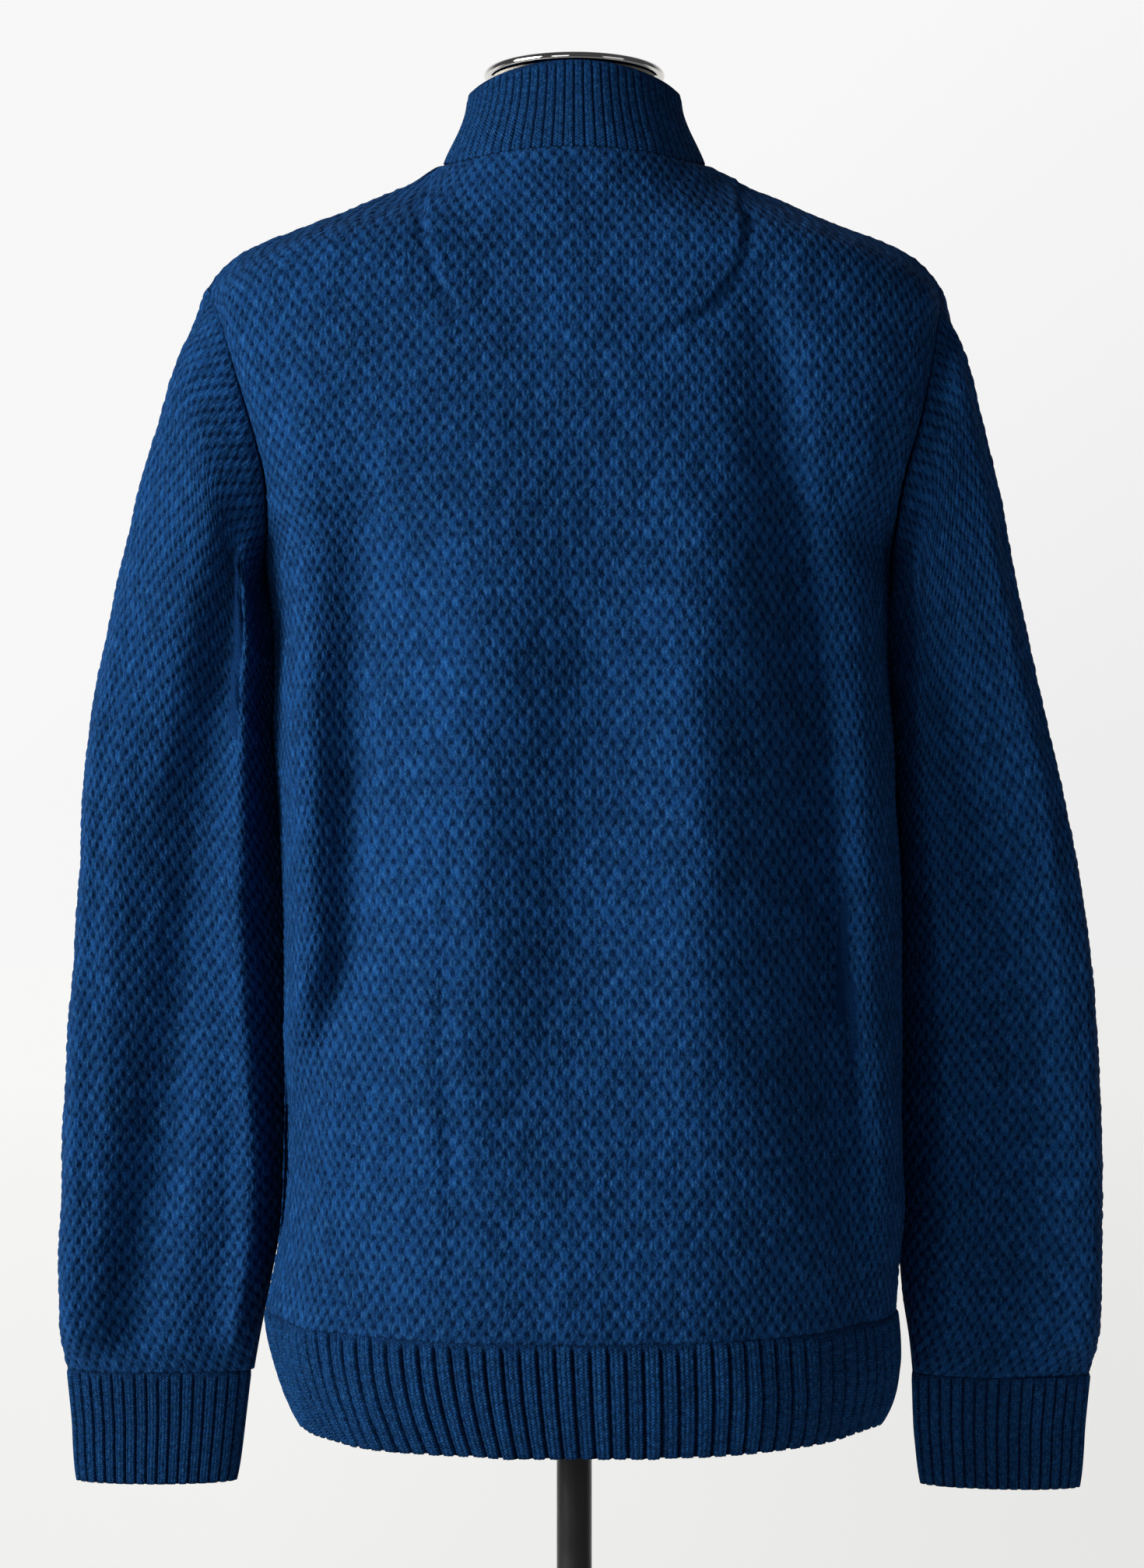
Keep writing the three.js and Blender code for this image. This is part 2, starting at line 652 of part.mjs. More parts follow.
// A shield-shaped body with a small arch on its face that carries the pull.
function sliderGeometry() {
  const { topWidth, footWidth, height, behind, proud } = SLIDER;
  const [top, foot, end] = [topWidth / 2, footWidth / 2, height / 2];
  const body = extrude(
    outline([[-foot, -end], [foot, -end], [top, end * 0.3], [top, end - 1.4], [top - 1.2, end],
      [1.2 - top, end], [-top, end - 1.4], [-top, end * 0.3]]),
    behind + proud,
  );
  body.translate(0, 0, -behind);
  const { width, low, high, bar } = BRIDGE;
  const [root, crown] = [proud - 0.5, proud + BRIDGE.proud];
  const arch = outline([[low, root], [low, crown - 0.7], [low + 0.7, crown], [high - 0.7, crown],
    [high, crown - 0.7], [high, root], [high - bar, root], [high - bar, crown - bar],
    [low + bar, crown - bar], [low + bar, root]]);
  const bridge = extrude(arch, width);
  bridge.translate(0, 0, -width / 2);
  // The arch was drawn as (up, out); turn it to stand on the body's face.
  bridge.applyMatrix4(new THREE.Matrix4().makeBasis(vec(0, 1, 0), vec(0, 0, 1), vec(1, 0, 0)));
  return joined(body, bridge);
}

// A flat tab with an eye that passes round the bridge.
function pullGeometry() {
  const { width, length, thick, bar, eyeWidth, eyeReach } = PULL;
  const [side, neck] = [width / 2, width / 2 - 0.7];
  const tab = new THREE.Shape();
  tab.moveTo(-neck, bar / 2);
  tab.lineTo(-side, -eyeReach - 1.5);
  tab.lineTo(-side, side - length);
  tab.absarc(0, side - length, side, Math.PI, 2 * Math.PI, false);
  tab.lineTo(side, -eyeReach - 1.5);
  tab.lineTo(neck, bar / 2);
  tab.closePath();
  const eye = new THREE.Path();
  eye.moveTo(-eyeWidth / 2, -bar / 2);
  eye.lineTo(eyeWidth / 2, -bar / 2);
  eye.lineTo(eyeWidth / 2, -eyeReach);
  eye.lineTo(-eyeWidth / 2, -eyeReach);
  eye.closePath();
  tab.holes.push(eye);
  const geometry = extrude(tab, thick);
  geometry.translate(0, HINGE_Y, HINGE_Z - thick / 2);
  return geometry;
}

// The slider's group, lying on the collar's front edge at the slider's height.
function sliderGroup(collar) {
  const line = collar.rows.map((row) => row[0]);
  const k = line.findIndex((p) => p.z > SLIDER.z);
  const t = (SLIDER.z - line[k - 1].z) / (line[k].z - line[k - 1].z);
  const seat = mix(line[k - 1], line[k], t);
  const up = line[k].clone().sub(line[k - 1]).setX(0).normalize();
  const placed = new THREE.Group();
  const across = vec(1, 0, 0);
  placed.applyMatrix4(new THREE.Matrix4().makeBasis(across, up, across.clone().cross(up)));
  placed.position.set(0, seat.y, seat.z);
  return placed;
}

// ---------- neck facing ----------

const FACING = { columns: 4.6, rows: 6.2, clear: 1.5, wall: 1.2, topInset: 0.6, steps: 6, columnSteps: 14 };

// A half-moon of the same cloth, sewn inside the back below the neck.
function facingGrid(back) {
  const lastRow = back.rows.length - 1;
  const middle = BACK_COLUMNS / 2;
  const at = (list, row, column) => {
    const i = Math.min(Math.floor(row), lastRow - 1);
    return mix(alongList(list[i], column), alongList(list[i + 1], column), row - i);
  };
  const rows = [];
  for (let k = 0; k <= FACING.steps; k += 1) {
    const ring = [];
    for (let j = 0; j <= FACING.columnSteps; j += 1) {
      const across = (2 * j) / FACING.columnSteps - 1;
      const depth = FACING.rows * (1 - 0.97 * Math.abs(across) ** 3) ** 0.45;
      const row = lastRow - FACING.topInset - depth * (1 - k / FACING.steps);
      const column = middle + across * FACING.columns;
      const inward = -(PANEL_WALL + FACING.clear);
      ring.push(at(back.rows, row, column).addScaledVector(at(back.normals, row, column), inward));
    }
    rows.push(ring);
  }
  return makeGrid(rows, awayFromPole);
}

// ---------- dress form ----------

// One closed skin through rings that all have the same number of points, with a cap at each end.
function skinGeometry(rings) {
  const positions = [];
  const triangles = [];
  rings.forEach((ring) => ring.forEach((p) => positions.push(p.x, p.y, p.z)));
  const count = rings[0].length;
  for (let i = 0; i < rings.length - 1; i += 1) {
    for (let j = 0; j < count; j += 1) {
      const k = (j + 1) % count;
      const [a, b, c, d] = [i * count + j, i * count + k, (i + 1) * count + k, (i + 1) * count + j];
      triangles.push(a, b, c, a, c, d);
    }
  }
  const last = (rings.length - 1) * count;
  for (let j = 1; j < count - 1; j += 1) {
    triangles.push(0, j + 1, j, last, last + j, last + j + 1);
  }
  return facingOut(positions, triangles);
}

const FORM_SEGMENTS = 32;
const SHOULDER_CLEAR = PANEL_WALL + 1.4; // the form carries the cloth here

// Rings of the torso, the sloping shoulders and the neck.
function dressFormRings() {
  const rows = [...DRESS_FORM_RINGS];
  const line = SHOULDER_LINE;
  for (let i = line.length - 4; i > 1; i -= 1) {
    const slope = vec(line[i + 1].x - line[i - 1].x, 0, line[i + 1].z - line[i - 1].z).normalize();
    const x = line[i].x + slope.z * SHOULDER_CLEAR;
    const z = line[i].z - slope.x * SHOULDER_CLEAR;
    rows.push({ z, halfWidth: x, yMid: line[i].y + 1.5, yBack: 46, yFront: -26, round: SHOULDER_ROUND });
  }
  rows.push(...DRESS_FORM_NECK);
  rows.sort((a, b) => a.z - b.z);
  return rows.map((row) =>
    Array.from({ length: FORM_SEGMENTS }, (_, j) => {
      const angle = (2 * Math.PI * j) / FORM_SEGMENTS;
      const across = signedPower(Math.sin(angle), 2 / row.round);
      const deep = signedPower(Math.cos(angle), 2 / row.round);
      const y = (row.yMid ?? 0) + (deep > 0 ? row.yBack * deep : -row.yFront * deep);
      return vec(row.halfWidth * across, y, row.z);
    }),
  );
}

// Profiles of (radius, z), from the axis and back to it.
const CAP_PROFILE = [
  [0, NECK_TOP_Z + SEAM_GAP],
  [46, NECK_TOP_Z + SEAM_GAP],
  [46.5, CAP_TOP_Z - 7],
  [50, CAP_TOP_Z - 6],
  [CAP_RADIUS, CAP_TOP_Z - 4],
  [CAP_RADIUS, CAP_TOP_Z - 2],
  [50, CAP_TOP_Z - 0.5],
  [46, CAP_TOP_Z],
  [0, CAP_TOP_Z + 1],
];
const POLE_PROFILE = [
  [0, BASE_HEIGHT + SEAM_GAP],
  [POLE_RADIUS, BASE_HEIGHT + SEAM_GAP],
  [POLE_RADIUS, FORM_FOOT_Z - SEAM_GAP],
  [0, FORM_FOOT_Z - SEAM_GAP],
];
const BASE_PROFILE = [
  [0, 0],
  [BASE_RADIUS, 0],
  [BASE_RADIUS, BASE_HEIGHT - 6],
  [BASE_RADIUS - 4, BASE_HEIGHT - 3],
  [40, BASE_HEIGHT],
  [0, BASE_HEIGHT],
];

// A turned part from its profile of (radius, z) pairs, closed on the axis.
function turned(profile, segments) {
  const geometry = new THREE.LatheGeometry(
    profile.map(([radius, z]) => new THREE.Vector2(radius, z)),
    segments,
  );
  geometry.rotateX(Math.PI / 2);
  return geometry;
}

// ---------- materials ----------

const finish = (color, roughness, metalness = 0) =>
  new THREE.MeshStandardMaterial({ color, roughness, metalness });
const KNIT = finish(0x14315a, 0.95);
const RIB = finish(0x17386a, 0.95);
const TAPE = finish(0x0e2037, 0.9);
const NICKEL = finish(0x9a9a9c, 0.3, 1);
const FORM_CLOTH = finish(0xe8e2d6, 0.9);
const CHROME = finish(0xd6d6d6, 0.08, 1);
const BLACK = finish(0x17181a, 0.35);

// ---------- assembly ----------

const group = new THREE.Group();

function named(name, geometry, material) {
  const mesh = new THREE.Mesh(geometry, material);
  mesh.name = name;
  return mesh;
}

const add = (name, geometry, material) => group.add(named(name, geometry, material));

const back = backGrid();
const fronts = { left: frontGrid(1), right: frontGrid(-1) };
const armholes = {
  left: armholeLoop(back, fronts.left, 1),
  right: armholeLoop(back, fronts.right, -1),
};
const sleeves = {
  left: sleeveGrid(armholes.left, LEFT_SLEEVE, 1),
  right: sleeveGrid(armholes.right, RIGHT_SLEEVE, -1),
};
const collar = collarGrid(neckline(back, fronts.left, fronts.right));
sewNormals([back, fronts.left, fronts.right, sleeves.left, sleeves.right, collar]);

add("back", plainWall(drawBack(back, ["start", "end", "top", "bottom"]), PANEL_WALL), KNIT);
add("hem_back", ribbedWall(drawBack(hemGrid(back), ["start", "end", "bottom"]), HEM_RIB_PITCH, RIB_RAISE.hem), RIB);
add("collar", ribbedWall(drawBack(collar, ["bottom"], SEAM_GAP), COLLAR_RIB_PITCH, RIB_RAISE.collar), RIB);

for (const [name, side] of [["left", 1], ["right", -1]]) {
  const front = fronts[name];
  const sleeve = sleeves[name];
  const hem = hemGrid(front);
  const cuff = cuffGrid(sleeve, side > 0 ? LEFT_CUFF : RIGHT_CUFF, side);
  add(`front_${name}`, plainWall(drawBack(front, ["end", "top", "bottom"]), PANEL_WALL), KNIT);
  add(`hem_front_${name}`, ribbedWall(drawBack(hem, ["end", "bottom"]), HEM_RIB_PITCH, RIB_RAISE.hem), RIB);
  add(`sleeve_${name}`, plainWall(drawBack(sleeve, ["bottom", "top"]), PANEL_WALL), KNIT);
  add(`cuff_${name}`, ribbedWall(drawBack(cuff, ["bottom"]), CUFF_RIB_PITCH, RIB_RAISE.cuff), RIB);
  const collarColumn = side > 0 ? collar.rows[0].length - 1 : 0;
  const tape = tapeGrid(side, [
    edgeLine(hem, 0, 0, hem.rows.length).reverse(),
    edgeLine(front, 0, 1, front.rows.length),
    edgeLine(collar, collarColumn, 1, collar.rows.length),
  ]);
  add(`zip_tape_${name}`, plainWall(tape, TAPE_WALL), TAPE);
}

add("neck_facing", plainWall(facingGrid(back), FACING.wall), KNIT);

const slider = sliderGroup(collar);
group.add(slider);
slider.add(named("zip_slider", sliderGeometry(), NICKEL), named("zip_pull", pullGeometry(), NICKEL));

add("dress_form", skinGeometry(dressFormRings()), FORM_CLOTH);
add("neck_cap", turned(CAP_PROFILE, 36), CHROME);
add("pole", turned(POLE_PROFILE, 24), BLACK);
add("base", turned(BASE_PROFILE, 48), BLACK);

export default group;
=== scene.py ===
import math

import bmesh
import bpy
import numpy as np
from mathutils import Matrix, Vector


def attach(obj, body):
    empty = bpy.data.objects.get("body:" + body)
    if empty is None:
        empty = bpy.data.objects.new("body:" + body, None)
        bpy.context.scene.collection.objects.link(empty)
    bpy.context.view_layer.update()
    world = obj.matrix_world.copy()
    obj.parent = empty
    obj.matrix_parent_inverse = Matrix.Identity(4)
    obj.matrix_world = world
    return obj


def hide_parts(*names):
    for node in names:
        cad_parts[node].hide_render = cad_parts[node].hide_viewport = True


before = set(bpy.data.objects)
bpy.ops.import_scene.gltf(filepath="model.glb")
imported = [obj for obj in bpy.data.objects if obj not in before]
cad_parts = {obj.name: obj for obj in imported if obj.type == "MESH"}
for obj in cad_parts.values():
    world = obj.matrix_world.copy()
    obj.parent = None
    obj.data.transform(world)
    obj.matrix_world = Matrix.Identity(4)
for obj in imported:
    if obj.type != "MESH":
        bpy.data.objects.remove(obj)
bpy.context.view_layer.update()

# A moss-stitch cardigan on a dress form, seen from the back.
# Sizes are in millimetres until a mesh is made. The front faces -Y; the wearer's left is +X.
MM = 0.001

# ---------- driving sizes ----------

BODY_STITCH = (7.2, 5.3)  # width and height of one moss stitch
SLEEVE_STITCH = (7.0, 5.2)
COURSE = 1.7  # height of one course of ribbing
STITCH_RELIEF = 1.6
STITCH_FLOOR = 0.55  # the share of a stitch's height that sinks into the panel
PANEL_WALL = 2.6
RIB_WALL = 2.0
SEAM_CALM = 22  # the folds fade out over this distance from a seam
SEAM_TURN = 3.2  # the knit turns under over this distance from a seam
HEM_PITCH, CUFF_PITCH, COLLAR_PITCH = 9.4, 6.9, 4.95
HEM_RAISE, CUFF_RAISE, COLLAR_RAISE = 3.0, 1.9, 1.2
SCALLOP = 1.3  # the grooves between the ribs end this much higher than the ribs
RIB_TUCK = 1.2  # how far the ribbing's free edge turns in
HEM_SWELL = [(0, 0), (0.25, 1.2), (0.5, 1.2), (0.75, -1), (1, -5)]  # share of the drop, outwards
HEM_PULL_IN = 12  # at the wearer's left side
HEM_Z = 702
PANEL_FOOT_Z = 764
ZIP_HALF_GAP = 3.4
UNDERARM_ROW = 7
# The armhole's steps, counted up the body's rows.
ROW_STEPS = np.cumsum([0, 1, 1, 1, 1, 2, 1, 1, 2, 2, 2, 2, 2, 2])
NECK_COLUMNS = 5
HALF_BACK_COLUMNS = 12
FRONT_COLUMNS = 12

# zMid zEdge xMid left right yMid yEdge
BACK_ROWS = np.array([
    [764, 764, -4, 175, -182, 131, 0],
    [812, 812, -6, 167, -186, 132, 0],
    [880, 880, -7, 165, -186, 129, 0],
    [945, 945, -7, 165, -186, 125, 0],
    [1010, 1010, -5, 166, -184, 122, 0],
    [1080, 1080, -3, 170, -181, 121, 0],
    [1140, 1138, -2, 171, -179, 121, 0],
    [1190, 1185, 0, 175, -180, 120, 0],
    [1222, 1202, 0, 171, -179, 119, 34],
    [1257, 1229, 0, 171, -182, 117, 56],
    [1292, 1258, 0, 178, -190, 112, 62],
    [1328, 1290, 0, 188, -197, 104, 58],
    [1366, 1320, 0, 198, -203, 92, 42],
], float)
# zMid yMid yEdge; the front shares the edges of the back's rows
FRONT_MIDDLES = np.array([
    [764, -128, 0], [815, -130, 0], [880, -129, 0], [945, -127, 0], [1010, -126, 0],
    [1080, -125, 0], [1136, -122, 0], [1176, -118, 0], [1202, -114, -32], [1231, -108, -52],
    [1260, -101, -58], [1289, -93, -53], [1317, -85, -37],
], float)
SHOULDER_LINE = np.array([
    [75, 5, 1412], [94, 6, 1401], [118, 7, 1391], [140, 7, 1381],
    [165, 7, 1372], [186, 7, 1364], [200, 7, 1354], [209, 7, 1342],
], float)
BACK_NECK = np.array([
    [0, 73, 1409], [22, 71, 1408.5], [44, 62, 1407.5], [62, 44, 1407], [72, 24, 1409], [75, 5, 1412],
], float)
FRONT_NECK = np.array([
    [0, -77, 1344], [24, -74, 1350], [46, -64, 1364], [62, -46, 1383], [71, -22, 1401], [75, 5, 1412],
], float)
# halfWidth yBack yFront zBack zSide zFront
COLLAR_RINGS = [
    (66.5, 64, -72, 1429, 1428, 1362),
    (62, 58, -68, 1446, 1440, 1379),
    (60.5, 54.5, -65, 1460, 1450, 1394),
]
# yMid halfDepth round, then xOut zOut xIn zIn of the left and of the right sleeve
SLEEVE_RINGS = [
    (0, 67, 2.1, (221, 1308, 178.5, 1168), (219, 1306, 183.5, 1168)),
    (-7, 71, 2.1, (234.5, 1269, 176, 1147), (229.5, 1265, 183, 1147)),
    (-14, 71, 2.1, (248.5, 1226, 173.5, 1122), (240, 1226, 183, 1122)),
    (-19, 69, 2.0, (261, 1181, 172, 1092), (251, 1178, 183, 1092)),
    (-24, 65, 2.0, (272, 1134, 170, 1058), (264.5, 1124, 184, 1058)),
    (-27, 59, 2.0, (281, 1080, 168, 1015), (279.5, 1062, 186, 1015)),
    (-29, 52, 1.9, (286, 1017, 167, 965), (292, 1000, 187, 965)),
    (-30, 46, 1.9, (290, 955, 167, 918), (299.5, 940, 187.5, 918)),
    (-30, 41, 1.85, (293, 900, 167, 878), (303.5, 888, 187.5, 876)),
    (-30, 37, 1.85, (295.5, 855, 168, 842), (305.5, 845, 187.5, 840)),
    (-30, 34, 1.85, (297.5, 812, 172, 806), (305.5, 805, 187.5, 804)),
    (-30, 30, 1.85, (298.8, 772, 178.5, 770), (305, 765, 190, 767)),
    (-30, 25, 1.9, (297.5, 743, 184, 742), (303, 738, 194, 740)),
    (-30, 19, 2.0, (293.5, 722, 187.5, 722), (298.5, 719, 196, 720)),
]
CUFF_RINGS = [
    (-30, 15, 2.0, (290.5, 692, 191, 692), (295.5, 689, 197, 690)),
    (-30, 14, 2.0, (289, 657, 195, 657), (293.5, 653, 200, 655)),
]

# Folds: a soft line through three (x, z) points, how wide it is towards +X and towards -X,
# and how far it stands up or sinks.
BACK_FOLDS = [
    ((147, 1224), (149, 950), (160, 860), 11, 17, 23),
    ((113, 1228), (121, 971), (182, 800), 15, 13, -12),
    ((50, 1198), (58, 1040), (68, 890), 27, 40, 12.5),
    ((72, 950), (74, 860), (70, 765), 45, 40, 5),
    ((62, 1065), (70, 925), (62, 795), 6, 8, -3.2),
    ((-6, 1200), (-2, 1040), (10, 900), 26, 26, -5),
    ((-62, 1198), (-66, 1040), (-64, 880), 22, 18, 5),
    ((-78, 1218), (-80, 1040), (-90, 780), 40, 36, 11),
    ((-109, 1290), (-133, 1050), (-162, 700), 18, 11, -19),
    ((-160, 1224), (-166, 1000), (-179, 790), 20, 9, 19),
    ((140, 880), (146, 800), (148, 690), 8, 16, 5),
    ((163, 1200), (164, 1000), (161, 690), 12, 6, -8),
    ((156, 920), (157, 850), (158, 788), 16, 13, -16),
]
FRONT_FOLDS = [
    ((124, 1200), (118, 1060), (130, 890), 15, 15, -9),
    ((146, 1210), (148, 1000), (160, 800), 12, 15, 12),
    ((66, 1150), (72, 1020), (84, 850), 40, 24, 9),
    ((-116, 1205), (-122, 1070), (-132, 850), 15, 15, -9),
    ((-146, 1210), (-150, 1000), (-162, 800), 15, 12, 12),
    ((-60, 1160), (-64, 1010), (-74, 860), 24, 38, 8),
]

# Lower edge of the sewn-in neck facing, pressed through to the right side of the back.
HALF_MOON = np.array([
    [80.1, 1383], [79.7, 1372], [77.6, 1356], [69.6, 1332], [60.4, 1316], [36.9, 1304], [-2.9, 1296.6],
    [-32.7, 1301], [-42.8, 1304], [-60.4, 1313], [-72.2, 1320], [-81, 1330.6], [-86.8, 1343.6],
    [-89.8, 1358], [-90.6, 1366],
], float)
MARK_STEP, MARK_RIDGE, MARK_GROOVE = 1.7, 1.0, 1.6  # how strongly it shows

# ---------- curves and grids ----------


def spline_weights(count, places, closed=False):
    """Catmull-Rom weights that read a list of count entries at fractional places."""
    places = np.asarray(places, float)
    cell = np.floor(places).astype(int)
    if not closed:
        cell = np.clip(cell, 0, count - 2)
    t = places - cell
    shares = [
        -0.5 * t**3 + t**2 - 0.5 * t,
        1.5 * t**3 - 2.5 * t**2 + 1,
        -1.5 * t**3 + 2 * t**2 + 0.5 * t,
        0.5 * t**3 - 0.5 * t**2,
    ]
    weights = np.zeros((len(places), count))
    for k, share in enumerate(shares):
        index = cell + k - 1
        index = index % count if closed else np.clip(index, 0, count - 1)
        np.add.at(weights, (np.arange(len(places)), index), share)
    return weights


def rows_of(grid, places):
    """Rows of a control grid at fractional places."""
    return np.einsum("ij,jkl->ikl", spline_weights(len(grid), places), grid)


def across_of(grid, places, closed=False):
    """Columns of a control grid at fractional places."""
    return np.einsum("ikl,mk->iml", grid, spline_weights(grid.shape[1], places, closed))


def lengths(line):
    steps = np.linalg.norm(np.diff(line, axis=0), axis=1)
    return np.concatenate([[0], np.cumsum(steps)])


def along(line, shares):
    """Points at shares of a polyline's length."""
    length = lengths(line)
    at = np.asarray(shares) * length[-1]
    return np.stack([np.interp(at, length, line[:, k]) for k in range(3)], axis=1)


def half_row(row, z_mid, y_mid, y_edge, side, start_x):
    """Half of one knit row, from the middle to the side edge."""
    angle = np.linspace(0, math.pi / 2, 41)
    from_x = row[2] + side * start_x
    edge_x = row[3] if side > 0 else row[4]
    power = 2 / 2.15
    x = from_x + (edge_x - from_x) * np.sin(angle) ** power
    y = y_edge + (y_mid - y_edge) * np.abs(np.cos(angle)) ** power
    z = row[1] + (z_mid - row[1]) * np.cos(angle)
    return np.stack([x, y, z], axis=1)


def half_panel(middles, neck, side, columns, start_x):
    """Control rows of half a panel, the middle first, up to the neckline and shoulder seam."""
    shares = np.linspace(0, 1, columns + 1)
    rows = [
        along(half_row(row, *middle, side, start_x), shares)
        for row, middle in zip(BACK_ROWS, middles)
    ]
    flip = np.array([side, 1, 1])
    neck_line = neck * flip
    neck_line[0, 0] = side * start_x
    shoulder = SHOULDER_LINE * flip
    top = along(neck_line, np.arange(NECK_COLUMNS + 1) / NECK_COLUMNS)
    rest = np.arange(1, columns - NECK_COLUMNS + 1) / (columns - NECK_COLUMNS)
    rows.append(np.vstack([top, along(shoulder, rest)]))
    return np.array(rows)


def back_control():
    middles = BACK_ROWS[:, [0, 5, 6]]
    left = half_panel(middles, BACK_NECK, 1, HALF_BACK_COLUMNS, 0)
    right = half_panel(middles, BACK_NECK, -1, HALF_BACK_COLUMNS, 0)
    return np.concatenate([right[:, :0:-1], left], axis=1)


def normals_of(points):
    """Unit normals of a grid, turned away from the middle of the body or sleeve."""
    along_row = np.gradient(points, axis=1)
    up = np.gradient(points, axis=0)
    normal = np.cross(along_row, up)
    normal /= np.maximum(np.linalg.norm(normal, axis=2, keepdims=True), 1e-9)
    centre = points.mean(axis=1, keepdims=True)
    centre[:, :, 2] = points[:, :, 2].mean()
    return normal if np.sum(normal * (points - centre)) > 0 else -normal


def smooth(t):
    t = np.clip(t, 0, 1)
    return t * t * (3 - 2 * t)


def rounded(angle, roundness):
    """Cosine and sine, bent to a fuller (over 2) or leaner (under 2) ring than a circle."""
    power = 2 / roundness
    return [np.sign(t) * np.abs(t) ** power for t in (np.cos(angle), np.sin(angle))]


def even_places(line, step):
    """Fractional places in a control line that are evenly spaced along its smooth curve."""
    dense = np.linspace(0, len(line) - 1, 1200)
    length = lengths(spline_weights(len(line), dense) @ line)
    count = max(2, round(length[-1] / step))
    return np.interp(np.linspace(0, length[-1], count + 1), length, dense)


# ---------- relief ----------


def scatter(*keys):
    """A repeatable number from -0.5 to 0.5 for each set of whole numbers."""
    total = sum(np.asarray(key, float) * w for key, w in zip(keys, (12.9898, 78.233, 37.719)))
    return np.modf(np.abs(np.sin(total) * 43758.5453))[0] - 0.5


def ripple(x, z, size, seed):
    """Slow uneven waves, from about -1 to 1, for cloth that is never quite flat."""
    total = np.zeros(np.broadcast(x, z).shape)
    for k in range(5):
        turn = 6.28 * (scatter(seed, k) + 0.5)
        wave = 6.28 / (size * (0.7 + 0.25 * k))
        total += np.sin((x * math.cos(turn) + z * math.sin(turn)) * wave + 2.4 * k + seed)
    return total / 3.2


def moss(a, b, seed):
    """Height from 0 to 1 of moss stitch at wale a and course b: staggered uneven grains."""
    height = np.zeros_like(a)
    for step in (0, 1):
        course = np.floor(b) + step
        shift = 0.5 * (course % 2)
        wale = np.round(a - shift)
        across = (a - shift - wale - 0.08 * scatter(wale, course, seed)) / 0.40
        up = (b - course - 0.14 * scatter(wale, course, seed + 3)) / 0.78
        body = np.clip(1 - across**2 - up**2, 0, 1) ** 0.55
        height = np.maximum(height, body * (0.88 + 0.35 * scatter(wale, course, seed + 7)))
    return height


def fold_lift(folds, points):
    x, z = points[..., 0], points[..., 2]
    lift = np.zeros(x.shape)
    for (x0, z0), (x1, z1), (x2, z2), wide_plus, wide_minus, depth in folds:
        upper = z > z1
        t = (z - z1) / np.where(upper, z0 - z1, z2 - z1)
        gap = x - x1 - np.where(upper, x0 - x1, x2 - x1) * np.minimum(t, 1.4)
        across = gap / np.where(gap > 0, wide_plus, wide_minus)
        lift += depth * np.exp(-((t / 0.95) ** 4)) * np.exp(-(across**2))
    return lift


def body_offset(folds, seed, extra=None):
    """How far the folds and the slow unevenness of the cloth move its points."""

    def offset(points, normal, s, climb, soft):
        x, z = points[..., 0], points[..., 2]
        lift = 1.2 * ripple(x, z, 90, seed) + 0.5 * ripple(x, z, 34, seed + 1)
        if extra is not None:
            lift = lift + extra(x, z)
        move = normal * (soft * lift)[..., None]
        move[..., 1] += np.sign(np.mean(normal[..., 1])) * fold_lift(folds, points) * soft
        return move

    return offset


def from_line(x, z, line):
    """Distance from a flat line of (x, z) points, and whether a point is above it."""
    near = np.full(x.shape, 1e9)
    for (ax, az), (bx, bz) in zip(line[:-1], line[1:]):
        dx, dz = bx - ax, bz - az
        t = np.clip(((x - ax) * dx + (z - az) * dz) / (dx * dx + dz * dz), 0, 1)
        near = np.minimum(near, np.hypot(x - ax - t * dx, z - az - t * dz))
    inside = np.zeros(x.shape, bool)
    loop = np.vstack([line, [[line[-1, 0], 1420], [line[0, 0], 1420]]])
    for (ax, az), (bx, bz) in zip(loop, np.roll(loop, -1, axis=0)):
        if az == bz:
            continue
        crosses = (az > z) != (bz > z)
        inside ^= crosses & (x < (bx - ax) * (z - az) / (bz - az) + ax)
    return near, inside


# ---------- meshes ----------


def linked(name, data):
    obj = bpy.data.objects.new(name, data)
    bpy.context.scene.collection.objects.link(obj)
    return obj


def mesh_object(name, points, faces, knit=None, smooth_shade=True):
    """A mesh object in metres from points in millimetres; knit is (wale, course, lift) per point."""
    mesh = bpy.data.meshes.new(name)
    mesh.from_pydata(np.asarray(points) * MM, [], faces)
    if knit is not None:
        layer = mesh.attributes.new("knit", "FLOAT_VECTOR", "POINT")
        layer.data.foreach_set("vector", np.asarray(knit, np.float32).ravel())
    mesh.validate()
    if smooth_shade:
        mesh.shade_smooth()
    return linked(name, mesh)


def quads(grid):
    """Faces of a grid of point numbers."""
    corners = [grid[:-1, :-1], grid[:-1, 1:], grid[1:, 1:], grid[1:, :-1]]
    return np.stack(corners, axis=-1).reshape(-1, 4)


def strip(first, second, flip):
    """Triangles between two edge lines that may have different numbers of points."""
    faces = []
    i = j = 0
    n, m = len(first) - 1, len(second) - 1
    while i < n or j < m:
        step_first = j == m or (i < n and (i + 1) * m <= (j + 1) * n)
        corner = first[i + 1] if step_first else second[j + 1]
        faces.append((first[i], second[j], corner) if flip else (first[i], corner, second[j]))
        i, j = (i + 1, j) if step_first else (i, j + 1)
    return faces


